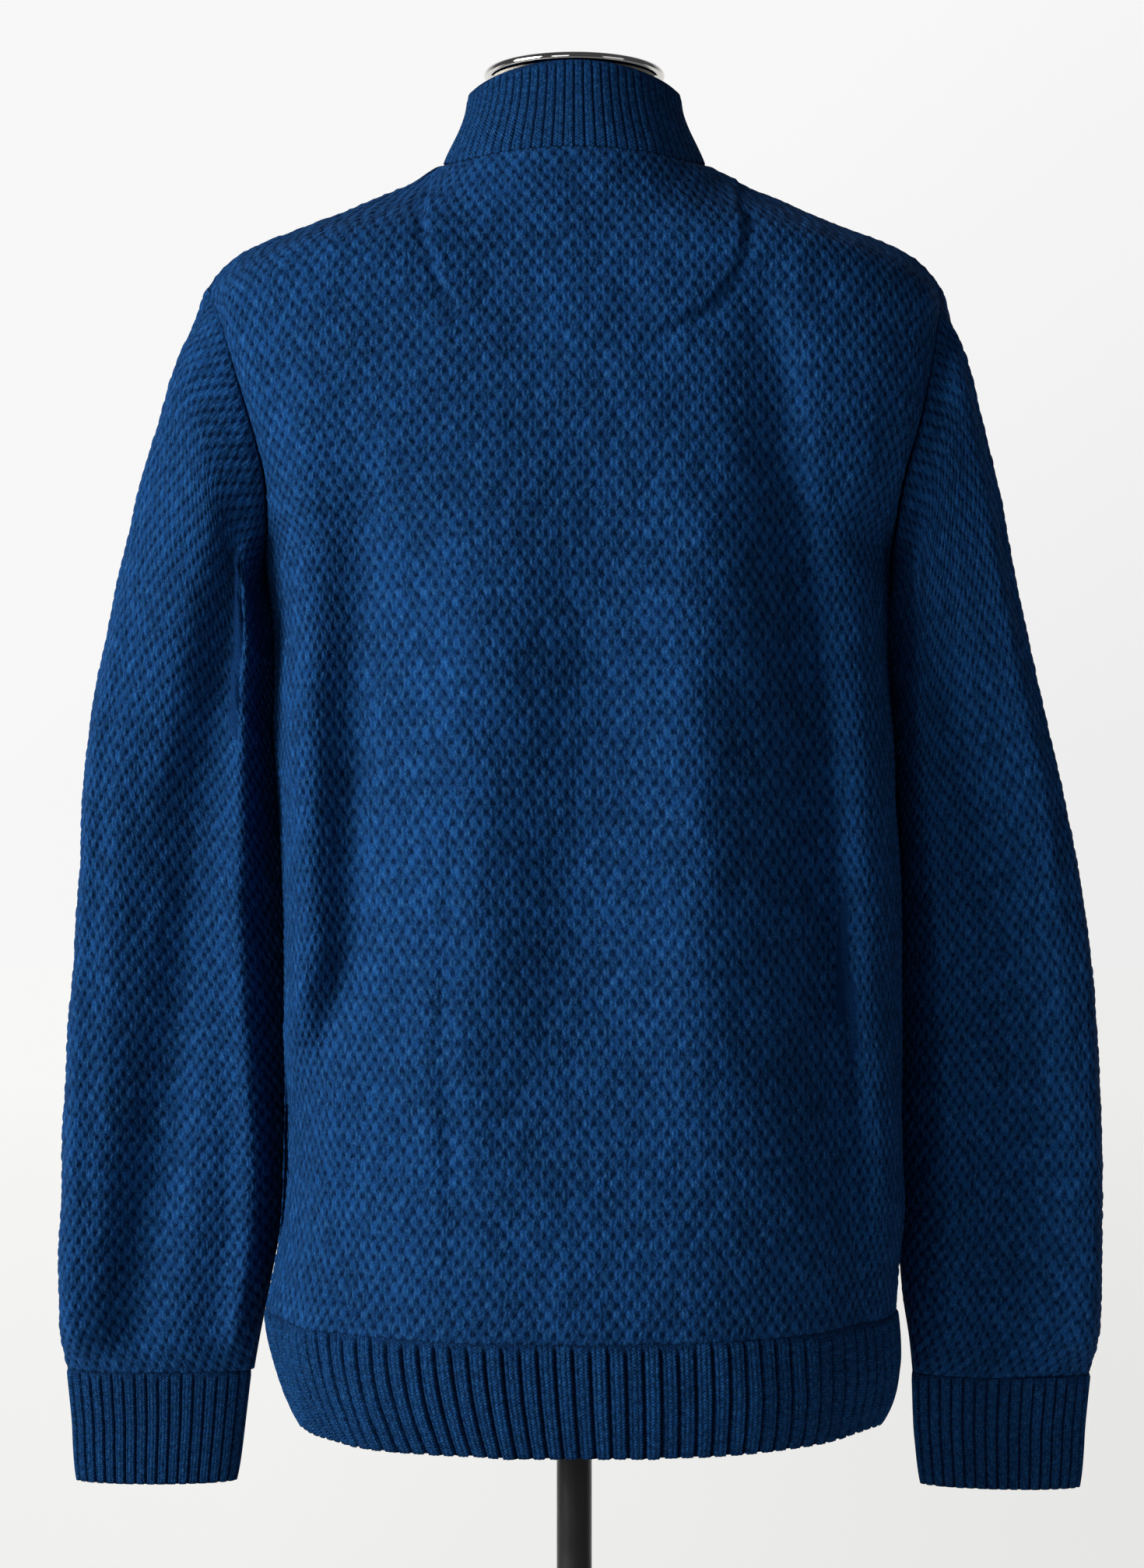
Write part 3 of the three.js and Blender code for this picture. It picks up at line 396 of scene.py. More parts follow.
def shell(name, outer, inner, knit=None, closed=False):
    """One closed skin from an outer grid and a coarser inner grid of points."""
    n_outer = outer.shape[0] * outer.shape[1]
    out = np.arange(n_outer).reshape(outer.shape[:2])
    back = n_outer + np.arange(inner.shape[0] * inner.shape[1]).reshape(inner.shape[:2])
    if closed:
        out = np.hstack([out, out[:, :1]])
        back = np.hstack([back, back[:, :1]])
    faces = quads(out).tolist() + quads(back)[:, ::-1].tolist()
    faces += strip(out[0], back[0], True) + strip(out[-1], back[-1], False)
    if not closed:
        faces += strip(out[:, 0], back[:, 0], False) + strip(out[:, -1], back[:, -1], True)
    points = np.vstack([outer.reshape(-1, 3), inner.reshape(-1, 3)])
    if knit is not None:
        knit = np.vstack([knit.reshape(-1, 3), np.zeros((inner.size // 3, 3))])
    obj = mesh_object(name, points, faces, knit)
    tidy_mesh(obj)
    return obj


def tidy_mesh(obj):
    """Welds points that were gathered on an edge, and faces the skin outwards."""
    work = bmesh.new()
    work.from_mesh(obj.data)
    bmesh.ops.remove_doubles(work, verts=work.verts, dist=2e-6)
    bmesh.ops.dissolve_degenerate(work, edges=work.edges, dist=1e-7)
    if work.calc_volume(signed=True) < 0:
        bmesh.ops.reverse_faces(work, faces=work.faces)
    work.to_mesh(obj.data)
    work.free()


# ---------- knitted panels ----------


def lay_knit(control, centre, stitch, per_stitch, seed, offset, places=None, roll=(0, 1, 0.4)):
    """Lays a regular knit over a control grid.

    The columns sit at fixed distances from the centre column, so the wales run straight and
    end at the sides, as in a shaped panel. offset gives the folds, and roll says how far the
    bottom, top and side edges turn under at their seams. Returns the fine points, the points
    before the stitches were raised, their normals and the knit coordinates.
    """
    wide, high = stitch
    per_wale, per_course = per_stitch
    if places is None:
        places = even_places(control[:, round(centre)], high / per_course)
    columns = np.linspace(0, control.shape[1] - 1, 4 * (control.shape[1] - 1) + 1)
    base = across_of(rows_of(control, places), columns)
    middle = int(np.argmin(np.abs(columns - centre)))
    steps = np.linalg.norm(np.diff(base, axis=1), axis=2)
    across = np.concatenate([np.zeros((len(base), 1)), np.cumsum(steps, axis=1)], axis=1)
    across -= across[:, middle : middle + 1]
    normal = normals_of(base)
    lo, hi = across[:, :1], across[:, -1:]
    spacing = wide / per_wale
    first, last = math.floor(lo.min() / spacing), math.ceil(hi.max() / spacing)
    s = np.clip(np.arange(first, last + 1)[None, :] * spacing, lo, hi)

    def read(field):
        out = np.empty((len(base), s.shape[1], 3))
        for i in range(len(base)):
            for k in range(3):
                out[i, :, k] = np.interp(s[i], across[i], field[i, :, k])
        return out

    points, normal = read(base), read(normal)
    normal /= np.linalg.norm(normal, axis=2, keepdims=True)
    course = np.arange(len(base))[:, None] / per_course * np.ones_like(s)
    climb = np.cumsum(np.linalg.norm(np.diff(points, axis=0, prepend=points[:1]), axis=2), axis=0)
    side_edge = np.minimum(s - lo, hi - s)
    end_edge = np.minimum(climb, climb[-1:] - climb)
    edge = np.minimum(side_edge, end_edge)
    soft = smooth(np.minimum(side_edge, climb[-1:] - climb) / SEAM_CALM)
    draped = points + offset(points, normal, s, climb, soft)
    normal = normals_of_sheet(draped, normal)
    wale = s / wide
    fade = smooth(np.minimum(side_edge / 3.0, end_edge / 1.2))
    grain = moss(wale, course, seed) * fade
    turned_under = sum(
        -depth * np.exp(-((gap / SEAM_TURN) ** 2))
        for depth, gap in zip(roll, (climb, climb[-1:] - climb, side_edge))
    )
    relief = STITCH_RELIEF * (grain - STITCH_FLOOR) * smooth(edge / 2.0) + turned_under
    raised = draped + normal * relief[..., None]
    # The third knit value is the stitch's height; the wool material paints shade where it is low and a
    # highlight where it is high.
    knit = np.stack([wale, course, grain + 0.5 * (1 - fade)], axis=-1)
    return {"outer": raised, "base": draped, "normal": normal, "knit": knit}


def normals_of_sheet(points, before):
    """Normals of a folded sheet; where its points are gathered on an edge they stay as before."""
    normal = np.cross(np.gradient(points, axis=1), np.gradient(points, axis=0))
    size = np.linalg.norm(normal, axis=2, keepdims=True)
    flip = np.sign(np.sum(normal * before, axis=2, keepdims=True))
    return np.where(size > 0.05, normal * flip / np.maximum(size, 1e-9), before)


def spread(count, wanted):
    """Numbers from 0 to count - 1, evenly spread, about as many as wanted."""
    return np.unique(np.linspace(0, count - 1, wanted).round().astype(int))


def inside_of(cloth, wall, rows=30, columns=88):
    """A coarse inner face behind a fine outer one."""
    high, wide = cloth["base"].shape[:2]
    grid = np.ix_(spread(high, rows), spread(wide, columns))
    return cloth["base"][grid] - wall * cloth["normal"][grid]


def lay_ribs(
    control, pitch, raise_by, columns_per_rib, row_step, seed,
    sweep=None, closed=False, offset=None, wale_count=3,
):
    """Lays ribbing with a whole number of ribs over a control grid of rows."""
    places = even_places(control[:, 0], row_step)
    base = rows_of(control, places)
    ring = np.vstack([control[-1], control[-1, :1]]) if closed else control[-1]
    length = lengths(ring)
    ribs = round(length[-1] / pitch)
    steps = ribs * columns_per_rib + (0 if closed else 1)
    at = np.linspace(0, length[-1], ribs * columns_per_rib + 1)[:steps]
    where = np.interp(at, length, np.arange(len(ring)))
    base = across_of(base, where, closed)
    normal = ring_normals(base) if closed else normals_of(base)
    s = at[None, :] * np.ones((len(base), 1))
    down = np.linspace(1, 0, len(base))[:, None] * np.ones_like(s)
    if offset is not None:
        soft = smooth(np.minimum(s, length[-1] - s) / SEAM_CALM)
        base = base + offset(base, normal, s, down, soft)
        normal = ring_normals(base) if closed else normals_of_sheet(base, normal)
    rib = s / length[-1] * ribs
    phase = rib if sweep is None else rib + sweep(base, down)
    index = np.floor(phase)
    t = phase - index
    top = smooth(np.minimum(t, 1 - t) / 0.19)
    wales = 0.08 * np.cos((t - 0.5) * 2 * math.pi * 3)
    uneven = 1 + 0.22 * scatter(index, 0 * index, seed)
    late = 4 * scatter(index, 0 * index, seed + 2)
    start = smooth((down * len(base) * row_step - 1.2 + late) / 2.6)
    height = top * (1 + wales) * uneven * start
    raised = base + normal * (raise_by * (height - 0.7 * start))[..., None]
    rows = np.arange(len(base))[:, None] * row_step / COURSE * np.ones_like(rib)
    # The third knit value is the rib's height; the wool material paints shade in the grooves and a
    # highlight on the ribs.
    knit = np.stack([phase * wale_count, rows, height + 0.6 * (1 - start)], axis=-1)
    return {
        "outer": raised, "base": base, "normal": normal, "knit": knit, "down": down, "phase": t,
    }


def ring_normals(points):
    """Normals of a grid whose rows close on themselves."""
    wide = np.concatenate([points[:, -2:], points, points[:, :2]], axis=1)
    return normals_of(wide)[:, 2:-2]


# ---------- the body ----------


def neck_facing_mark(x, z):
    """The half-moon of the neck facing, pressed through: a low step with a soft ridge."""
    near, inside = from_line(x, z, HALF_MOON)
    depth = np.where(inside, near, -near)
    step = MARK_STEP * smooth((depth + 3) / 6) * smooth((z - 1288) / 10)
    ridge = MARK_RIDGE * np.exp(-((near / 2.6) ** 2))
    groove = -MARK_GROOVE * np.exp(-(((depth + 5.0) / 2.6) ** 2))
    return (step + ridge + groove) * (0.25 + 0.75 * smooth((np.abs(x) - 28) / 34))


back_offset = body_offset(BACK_FOLDS, 1, neck_facing_mark)
front_offset = body_offset(FRONT_FOLDS, 5)


def declare(obj, node):
    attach(obj, "garment")
    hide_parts(node)
    return obj


def hem_control(panel_foot, normal):
    """Rows of the hem rib below a panel's first row, tucked under a little at the bottom."""
    drop = PANEL_FOOT_Z - HEM_Z
    rows = []
    for share, swell in HEM_SWELL:
        row = panel_foot + normal * swell
        row[:, 2] = panel_foot[:, 2] - share * drop
        row[:, 0] -= HEM_PULL_IN * share * smooth((panel_foot[:, 0] - 110) / 60)
        rows.append(row)
    return np.array(rows[::-1])


def hem_sweep(base, down):
    """The ribs lean towards the right as they go down, the more so at the wearer's left."""
    lean = 2.0 + 13.0 * smooth((base[..., 0] + 40) / 170)
    return lean / HEM_PITCH * down**1.4


def finish_ribs(cloth):
    """Lets the grooves reach a little less far down than the ribs, so the edge is scalloped."""
    edge = cloth["down"] ** 8
    groove = 1 - smooth(np.minimum(cloth["phase"], 1 - cloth["phase"]) / 0.22)
    cloth["outer"][..., 2] += SCALLOP * groove * edge
    cloth["outer"] -= cloth["normal"] * (RIB_TUCK * edge)[..., None]
    return cloth


def rib_shell(name, cloth, closed=False):
    high, wide = cloth["base"].shape[:2]
    columns = np.arange(0, wide, 8)
    if not closed and columns[-1] != wide - 1:
        columns = np.append(columns, wide - 1)
    grid = np.ix_(spread(high, 5), columns)
    inner = cloth["base"][grid] - RIB_WALL * cloth["normal"][grid]
    return shell(name, cloth["outer"], inner, cloth["knit"], closed)


back_rows = back_control()
back_cloth = lay_knit(back_rows, HALF_BACK_COLUMNS, BODY_STITCH, (4, 3), 11, back_offset)
front_rows = {}
front_cloth = {}
for name, side, seed in [("left", 1, 23), ("right", -1, 37)]:
    control = half_panel(FRONT_MIDDLES, FRONT_NECK, side, FRONT_COLUMNS, ZIP_HALF_GAP)
    front_rows[name] = control
    front_cloth[name] = lay_knit(control, 0, BODY_STITCH, (4, 2), seed, front_offset)

# ---------- sleeves and cuffs ----------

LOOP = 24  # control points round an armhole


def armhole(back, front, side, q):
    """Points of the armhole at q: 0 is the shoulder tip, 12 the underarm, back edge first."""
    back_edge = back[:, -1] if side > 0 else back[:, 0]
    foot, top = ROW_STEPS[UNDERARM_ROW], ROW_STEPS[-1]
    half = top - foot
    on_back = q <= half
    index = np.where(on_back, top - q, foot + (q - half))
    places = np.interp(index, ROW_STEPS, np.arange(len(ROW_STEPS)))
    weights = spline_weights(len(back_edge), places)
    return np.where(on_back[:, None], weights @ back_edge, weights @ front[:, -1])


def sleeve_ring(row, side, q):
    """One slanted ring of a sleeve at the same places q as the armhole."""
    y_mid, half_depth, roundness, left, right = row
    x_out, z_out, x_in, z_in = left if side > 0 else right
    outer = np.array([side * x_out, y_mid, z_out])
    inner = np.array([side * x_in, y_mid, z_in])
    along_slant, deep = rounded(2 * math.pi * q / LOOP, roundness)
    points = (outer + inner) / 2 + np.outer(along_slant, (outer - inner) / 2)
    points[:, 1] += half_depth * deep
    return points


# A sleeve's own folds: (places down the sleeve, places round it), width and depth.
# Round the sleeve, 0 is its outer line, +q goes over the back and -q over the front. These
# folds go straight back or forward, because an empty sleeve hangs nearly flat.
SLEEVE_FRONT_FOLDS = [
    ((1.0, -6.4), (7.0, -6.0), (13.0, -5.6), 26, -9),
    ((1.0, -9.6), (7.0, -9.4), (13.0, -9.0), 14, 6),
]
SLEEVE_FOLDS = {
    "left": [
        ((0.5, 8.5), (6.0, 6.8), (14.5, 4.4), 18, -14),
        ((0.4, 9.4), (6.5, 9.0), (15.5, 11.6), 13, 15),
        ((4.4, 2.6), (8.5, 1.5), (16.5, 1.3), 12, 14),
        ((4.6, 3.8), (8.5, 3.0), (16.5, 2.8), 16, 9),
        ((5.2, 6.6), (6.3, 5.5), (7.6, 4.4), 8, -1.5),
        ((0.6, 3.4), (1.8, 2.6), (3.6, 1.8), 6, 2.2),
        *SLEEVE_FRONT_FOLDS,
    ],
    "right": [
        ((0.6, 6.8), (7.0, 6.2), (14.5, 5.8), 28, -9),
        ((0.4, 9.2), (7.0, 8.9), (14.5, 8.9), 13, 10),
        ((-1.0, 1.8), (8.0, 1.5), (15.5, 1.4), 12, 15),
        ((-1.0, 3.4), (8.0, 3.0), (15.5, 2.7), 17, 12),
        ((0.6, 3.6), (1.8, 2.8), (3.6, 2.0), 6, 2.0),
        *SLEEVE_FRONT_FOLDS,
    ],
}


def sleeve_offset(name, ring_places):
    """Folds of a sleeve, placed by how far down and round it they are."""

    def offset(points, normal, s, climb, soft):
        k = ring_places[:, None] * np.ones_like(s)
        girth = s[:, -1:] - s[:, :1]
        q = s / girth * LOOP
        lift = np.zeros_like(s)
        for (k0, q0), (k1, q1), (k2, q2), width, depth in SLEEVE_FOLDS[name]:
            upper = k < k1
            t = (k - k1) / np.where(upper, k0 - k1, k2 - k1)
            line = q1 + np.where(upper, q0 - q1, q2 - q1) * np.minimum(t, 1.4)
            gap = (q - line) / LOOP * girth
            lift += depth * np.exp(-((t / 0.95) ** 6)) * np.exp(-((gap / width) ** 2))
        move = normal * (soft * ripple(s, climb, 80, 7 if name == "left" else 9))[..., None]
        # The underarm side is full, so that it lies against the body.
        full = 2.2 * smooth((k - 0.4) / 1.2) * (1 if name == "left" else smooth((11 - k) / 2.5))
        full = full + 6.0 * np.exp(-(((k - 1.4) / 0.9) ** 2)) * smooth(k / 0.8)
        full = full + 3.0 * np.exp(-(((k - 3.1) / 1.1) ** 2))
        full = full * np.exp(-(((LOOP / 2 - np.abs(q)) / 1.6) ** 2))
        move += normal * full[..., None]
        near_cuff = smooth(climb / 30)
        move[..., 1] += np.sign(q) * lift * soft * near_cuff
        return move

    return offset


ring_q = np.linspace(-LOOP / 2, LOOP / 2, 97)
sleeve_cloth = {}
cuff_cloth = {}
for name, side, seed in [("left", 1, 41), ("right", -1, 53)]:
    rings = [armhole(back_rows, front_rows[name], side, ring_q % LOOP)]
    rings += [sleeve_ring(row, side, ring_q) for row in SLEEVE_RINGS]
    rings = np.array(rings[::-1])  # from the cuff up
    places = even_places(rings[:, 72], SLEEVE_STITCH[1] / 3)
    offset = sleeve_offset(name, len(rings) - 1 - places)
    sleeve_cloth[name] = lay_knit(
        rings[:, ::4], LOOP / 2, SLEEVE_STITCH, (4, 3), seed, offset, places=places, roll=(0, 1, 0)
    )
    q = np.linspace(0, LOOP, LOOP * 4, endpoint=False)
    top = sleeve_ring(SLEEVE_RINGS[-1], side, q)
    cuff = [sleeve_ring(row, side, q) for row in CUFF_RINGS]
    control = np.array([cuff[1], cuff[0] * 0.6 + cuff[1] * 0.4, cuff[0] * 0.97 + top * 0.03, top])
    cuff_cloth[name] = lay_ribs(control, CUFF_PITCH, CUFF_RAISE, 10, 2.2, seed + 1, closed=True)

# ---------- hem and collar ----------


def foot_of(cloth_rows):
    return cloth_rows[0].copy(), normals_of(rows_of(cloth_rows, [0, 0.05]))[0]


hem_cloth = {}
for name, rows, offset, seed in [
    ("back", back_rows, back_offset, 61),
    ("front_left", front_rows["left"], front_offset, 67),
    ("front_right", front_rows["right"], front_offset, 71),
]:
    sweep = hem_sweep if name == "back" else None
    control = hem_control(*foot_of(rows))
    hem_cloth[name] = lay_ribs(control, HEM_PITCH, HEM_RAISE, 12, 2.0, seed, sweep, offset=offset)


def collar_ring(base, ring):
    half_width, y_back, y_front, z_back, z_side, z_front = ring
    angle = np.arctan2(base[:, 0] / 75, (base[:, 1] - 1) / 74)
    back = np.cos(angle)
    y = np.where(back > 0, y_back * back, -y_front * back)
    tilt = np.where(back > 0, z_back - z_side, z_side - z_front)
    z = z_side + tilt * back * np.abs(back)
    edge = (np.abs(base[:, 0]) < ZIP_HALF_GAP + 0.1) & (base[:, 1] < 0)
    x = np.where(edge, base[:, 0], half_width * np.sin(angle))
    return np.stack([x, y, z], axis=1)


def neckline():
    top = back_rows[-1, HALF_BACK_COLUMNS - NECK_COLUMNS : HALF_BACK_COLUMNS + NECK_COLUMNS + 1]
    right = front_rows["right"][-1, :NECK_COLUMNS]
    left = front_rows["left"][-1, :NECK_COLUMNS]
    return np.vstack([right, top, left[::-1]])


collar_base = neckline()
collar_control = np.array([collar_base] + [collar_ring(collar_base, ring) for ring in COLLAR_RINGS])
collar_cloth = lay_ribs(collar_control, COLLAR_PITCH, COLLAR_RAISE, 8, 1.8, 83, wale_count=2)

# ---------- cloth pieces ----------

knitted = []


def add_panel(node, cloth, inner_rows=30):
    inner = inside_of(cloth, PANEL_WALL, inner_rows)
    obj = shell(f"{node}_knit", cloth["outer"], inner, cloth["knit"])
    knitted.append(declare(obj, node))


def add_rib(node, cloth, closed=False):
    obj = rib_shell(f"{node}_rib", finish_ribs(cloth), closed)
    knitted.append(declare(obj, node))


add_panel("back", back_cloth)
for name in ("left", "right"):
    add_panel(f"front_{name}", front_cloth[name], 90)
    add_panel(f"sleeve_{name}", sleeve_cloth[name])
    add_rib(f"cuff_{name}", cuff_cloth[name], True)
    add_rib(f"hem_front_{name}", hem_cloth[f"front_{name}"])
add_rib("hem_back", hem_cloth["back"])
add_rib("collar", collar_cloth)

# ---------- materials ----------


class Graph:
    """Shader nodes of one material or world. An input may be a value or another node's socket."""

    def __init__(self, tree):
        self.tree = tree

    def put(self, socket, value):
        if isinstance(value, bpy.types.NodeSocket):
            self.tree.links.new(value, socket)
        else:
            socket.default_value = value

    def node(self, kind, inputs=None, **settings):
        made = self.tree.nodes.new("ShaderNode" + kind)
        for key, value in settings.items():
            setattr(made, key, value)
        for key, value in (inputs or {}).items():
            self.put(made.inputs[key], value)
        return made

    def place(self):
        return self.node("TexCoord").outputs["Object"]

    def split(self, vector):
        return self.node("SeparateXYZ", {"Vector": vector}).outputs

    def noise(self, place, scale, detail, **more):
        inputs = {"Vector": place, "Scale": scale, "Detail": detail, **more}
        return self.node("TexNoise", inputs).outputs

    def math(self, operation, *values, clamp=False):
        values = dict(enumerate(values))
        return self.node("Math", values, operation=operation, use_clamp=clamp).outputs[0]

    def vector(self, operation, *values):
        made = self.node("VectorMath", dict(enumerate(values)), operation=operation)
        return made.outputs["Value" if operation == "DOT_PRODUCT" else "Vector"]

    def mix(self, share, first, second, blend="MIX", kind="Color"):
        """A colour between two others, or with kind Vector a vector."""
        data_type = "RGBA" if kind == "Color" else "VECTOR"
        made = self.node("Mix", data_type=data_type, blend_type=blend)
        sockets = {socket.identifier: socket for socket in [*made.inputs, *made.outputs]}
        self.put(sockets["Factor_Float"], share)
        self.put(sockets[f"A_{kind}"], first)
        self.put(sockets[f"B_{kind}"], second)
        return sockets[f"Result_{kind}"]

    def ramp(self, value, *stops):
        made = self.node("ValToRGB", {"Fac": value})
        elements = made.color_ramp.elements
        while len(elements) < len(stops):
            elements.new(0.5)
        for element, (place, color) in zip(elements, stops):
            element.position = place
            element.color = (*color, 1) if hasattr(color, "__len__") else (color, color, color, 1)
        return made.outputs["Color"]

    def mapped(self, value, from_min, from_max, to_min, to_max):
        keys = ("Value", "From Min", "From Max", "To Min", "To Max")
        inputs = dict(zip(keys, (value, from_min, from_max, to_min, to_max)))
        return self.node("MapRange", inputs).outputs[0]

    def bump(self, height, strength, distance, **more):
        inputs = {"Height": height, "Strength": strength, "Distance": distance, **more}
        return self.node("Bump", inputs).outputs[0]

    def shade(self, inputs):
        shader = self.tree.nodes["Principled BSDF"]
        for key, value in inputs.items():
            self.put(shader.inputs[key], value)


def new_material(name):
    material = bpy.data.materials.new(name)
    material.use_nodes = True
    return material, Graph(material.node_tree)


def linear(*display):
    """A shader colour from display values of 0 to 255."""
    return tuple(((c / 255 + 0.055) / 1.055) ** 2.4 if c > 10 else c / 255 / 12.92 for c in display)


# Yarn colours: painted shade between the stitches and for dark speckles, the yarn's own colour on
# their sides, a painted highlight on their tips, and the flecks in them; the pale flecks show on the
# tips and are partly painted highlight.
WOOL_SHADE_AND_SPECKLE = linear(5, 25, 55)
WOOL = linear(13, 46, 89)
WOOL_TIP_HIGHLIGHT = linear(23, 78, 138)
WOOL_PALE_FLECK_AND_HIGHLIGHT = (*linear(52, 104, 156), 1)
WOOL_VIOLET = linear(18, 26, 112)
WOOL_GREEN = linear(6, 84, 96)


def moss_pattern(g, knit):
    """Staggered pebble-like grains, each of two upright legs of yarn.

    Returns their height from 0 to 1 and a number that is steady over each grain.
    """
    width, height = 0.42, 0.86  # of a grain, in cells
    middle = (0.5, 0.5, 0)
    flat = g.vector("MULTIPLY", knit, (1, 0.5, 0))
    wobble = g.vector("SUBTRACT", g.noise(knit, 1.6, 3.0)["Color"], (0.5, 0.5, 0.5))
    flat = g.vector("ADD", flat, g.vector("MULTIPLY", wobble, (0.46, 0.30, 0)))
    shifted = g.vector("ADD", flat, middle)

    def oval(place):
        local = g.vector("SUBTRACT", g.vector("FRACTION", place), middle)
        scaled = g.vector("MULTIPLY", local, (1 / width, 2 / height, 0))
        return local, g.vector("DOT_PRODUCT", scaled, scaled)

    odd_local, odd = oval(flat)
    even_local, even = oval(shifted)
    grain = g.math("SUBTRACT", 1.0, g.math("MINIMUM", odd, even), clamp=True)
    grain = g.math("POWER", grain, 0.5)
    is_odd = g.math("LESS_THAN", odd, even)
    local = g.split(g.mix(is_odd, even_local, odd_local, kind="Vector"))
    turn = g.math("MULTIPLY", local["X"], 2 * math.pi / width)
    legs = g.math("MULTIPLY_ADD", g.math("COSINE", turn), -0.2, 0.8)
    odd_cell = g.vector("ADD", g.vector("FLOOR", flat), (500, 0, 0))
    cell = g.mix(is_odd, g.vector("FLOOR", shifted), odd_cell, kind="Vector")
    chance = g.node("TexWhiteNoise", {"Vector": cell}).outputs["Value"]
    return g.math("MULTIPLY", grain, legs), chance


def rib_pattern(g, parts):
    """Height of the small V stitches of the ribbing, and a number for each stitch."""
    wale = g.math("FRACT", parts["X"])
    off = g.math("ABSOLUTE", g.math("SUBTRACT", wale, 0.5))
    climb = g.math("ADD", parts["Y"], g.math("MULTIPLY", off, 1.5))
    local = g.math("ABSOLUTE", g.math("SUBTRACT", g.math("FRACT", climb), 0.5))
    leg = g.math("SUBTRACT", 1.0, g.math("MULTIPLY", local, 1.7), clamp=True)
    edge = g.math("SUBTRACT", 1.15, g.math("POWER", g.math("MULTIPLY", off, 2.0), 4.0))
    floor_of = {"X": g.math("FLOOR", parts["X"]), "Y": g.math("FLOOR", climb)}
    cell = g.node("CombineXYZ", floor_of).outputs[0]
    return g.math("MULTIPLY", leg, edge), g.node("TexWhiteNoise", {"Vector": cell}).outputs["Value"]


def wool_material(name, rib):
    """Thick woollen yarn: painted shade between the stitches, painted highlights on the tips, flecks
    of other blues.
    """
    material, g = new_material(name)
    place = g.place()
    knit = g.node("Attribute", attribute_name="knit").outputs["Vector"]
    parts = g.split(knit)
    if rib:
        stitch, chance = rib_pattern(g, parts)
        level = g.math("MULTIPLY", parts["Z"], g.math("MULTIPLY_ADD", stitch, 0.4, 0.4))
    else:
        stitch, chance = moss_pattern(g, knit)
        level = g.math("MULTIPLY", stitch, 0.46)
        level = g.math("ADD", g.math("MULTIPLY", parts["Z"], 0.34), level)
    upright = g.vector("MULTIPLY", knit, (2.2, 0.5, 0) if rib else (4.4, 1.15, 0))
    dashes = g.noise(upright, 1.0, 3.0, Roughness=0.6)["Fac"]
    broad = g.noise(place, 14.0, 3.0)["Fac"]
    fleck = g.noise(place, 620.0, 4.0)["Fac"]
    hair = g.noise(place, 1150.0, 3.0)["Fac"]
    # Painted shade where the stitch height is low, between the stitches and in the rib grooves, and a
    # painted highlight where it is high, on the raised tips.
    color = g.ramp(level, (0.02, WOOL_SHADE_AND_SPECKLE), (0.36, WOOL), (1.0, WOOL_TIP_HIGHLIGHT))
    for tone in (
        g.ramp(chance, (0.0, 0.70), (0.5, 0.97), (1.0, 1.30)),
        g.ramp(broad, (0.3, 0.86), (0.7, 1.12)),
    ):
        color = g.mix(1.0, color, tone, "MULTIPLY")
    hue = g.ramp(fleck, (0.36, WOOL_VIOLET), (0.5, WOOL), (0.66, WOOL_GREEN))
    color = g.mix(g.math("MULTIPLY", level, 0.22), color, hue)
    # Pale hairs and dashes, scaled by the stitch height so they show on the raised tips: the yarn's
    # pale flecks, partly painted highlight.
    for pale in (
        g.ramp(hair, (0.55, 0.0), (0.72, 0.6)),
        g.ramp(dashes, (0.50, 0.0), (0.64, 0.55)),
    ):
        color = g.mix(g.math("MULTIPLY", pale, level), color, WOOL_PALE_FLECK_AND_HIGHLIGHT)
    # Dark hairs and dashes in the painted shade colour, spread at random by noise.
    for dark in (
        g.ramp(hair, (0.34, 0.45), (0.47, 0.0)),
        g.ramp(dashes, (0.33, 0.4), (0.46, 0.0)),
    ):
        color = g.mix(dark, color, (*WOOL_SHADE_AND_SPECKLE, 1))
    relief = g.bump(stitch, 0.9, 0.0009 if rib else 0.0008)
    g.shade({
        "Base Color": color,
        "Normal": g.bump(fleck, 0.9, 0.0011, Normal=relief),
        "Roughness": 0.9,
        "Specular IOR Level": 0.03,
        "Sheen Weight": 0.02,
        "Sheen Roughness": 0.4,
        "Sheen Tint": (*linear(120, 165, 225), 1),
    })
    return material


def cloth_material(name, dark, light, scale):
    """Fine plain cloth with a small weave."""
    material, g = new_material(name)
    place = g.place()
    weave = g.node("TexVoronoi", {"Vector": place, "Scale": scale}).outputs["Distance"]
    color = g.ramp(g.noise(place, 9.0, 4.0)["Fac"], (0.3, dark), (0.7, light))
    thread = g.ramp(weave, (0.0, 0.0), (0.9, 0.25))
    g.shade({
        "Base Color": g.mix(thread, color, (*[c * 0.6 for c in dark], 1)),
        "Normal": g.bump(weave, 0.5, 0.0003),
        "Roughness": 0.9,
        "Sheen Weight": 0.3,
    })
    return material


def metal_material(name, color, rough_low, rough_high, metallic, scale):
    """Metal or enamel with faint wear and handling marks in its roughness."""
    material, g = new_material(name)
    place = g.place()
    smear = g.noise(place, scale, 6.0)["Fac"]
    g.shade({
        "Roughness": g.ramp(smear, (0.3, rough_low), (0.75, rough_high)),
        "Base Color": g.ramp(smear, (0.3, [c * 0.9 for c in color]), (0.8, color)),
        "Normal": g.bump(g.noise(place, scale * 40, 2.0)["Fac"], 0.06, 0.0002),
        "Metallic": metallic,
    })
    return material


# ---------- zip ----------

TAPE_CLEAR = 0.5
TAPE_WALL = 1.0
TAPE_COLUMNS = 7
TEETH_PITCH = 2.8
ZIP_TOP_Z = 1371
LINE_STEPS = 240
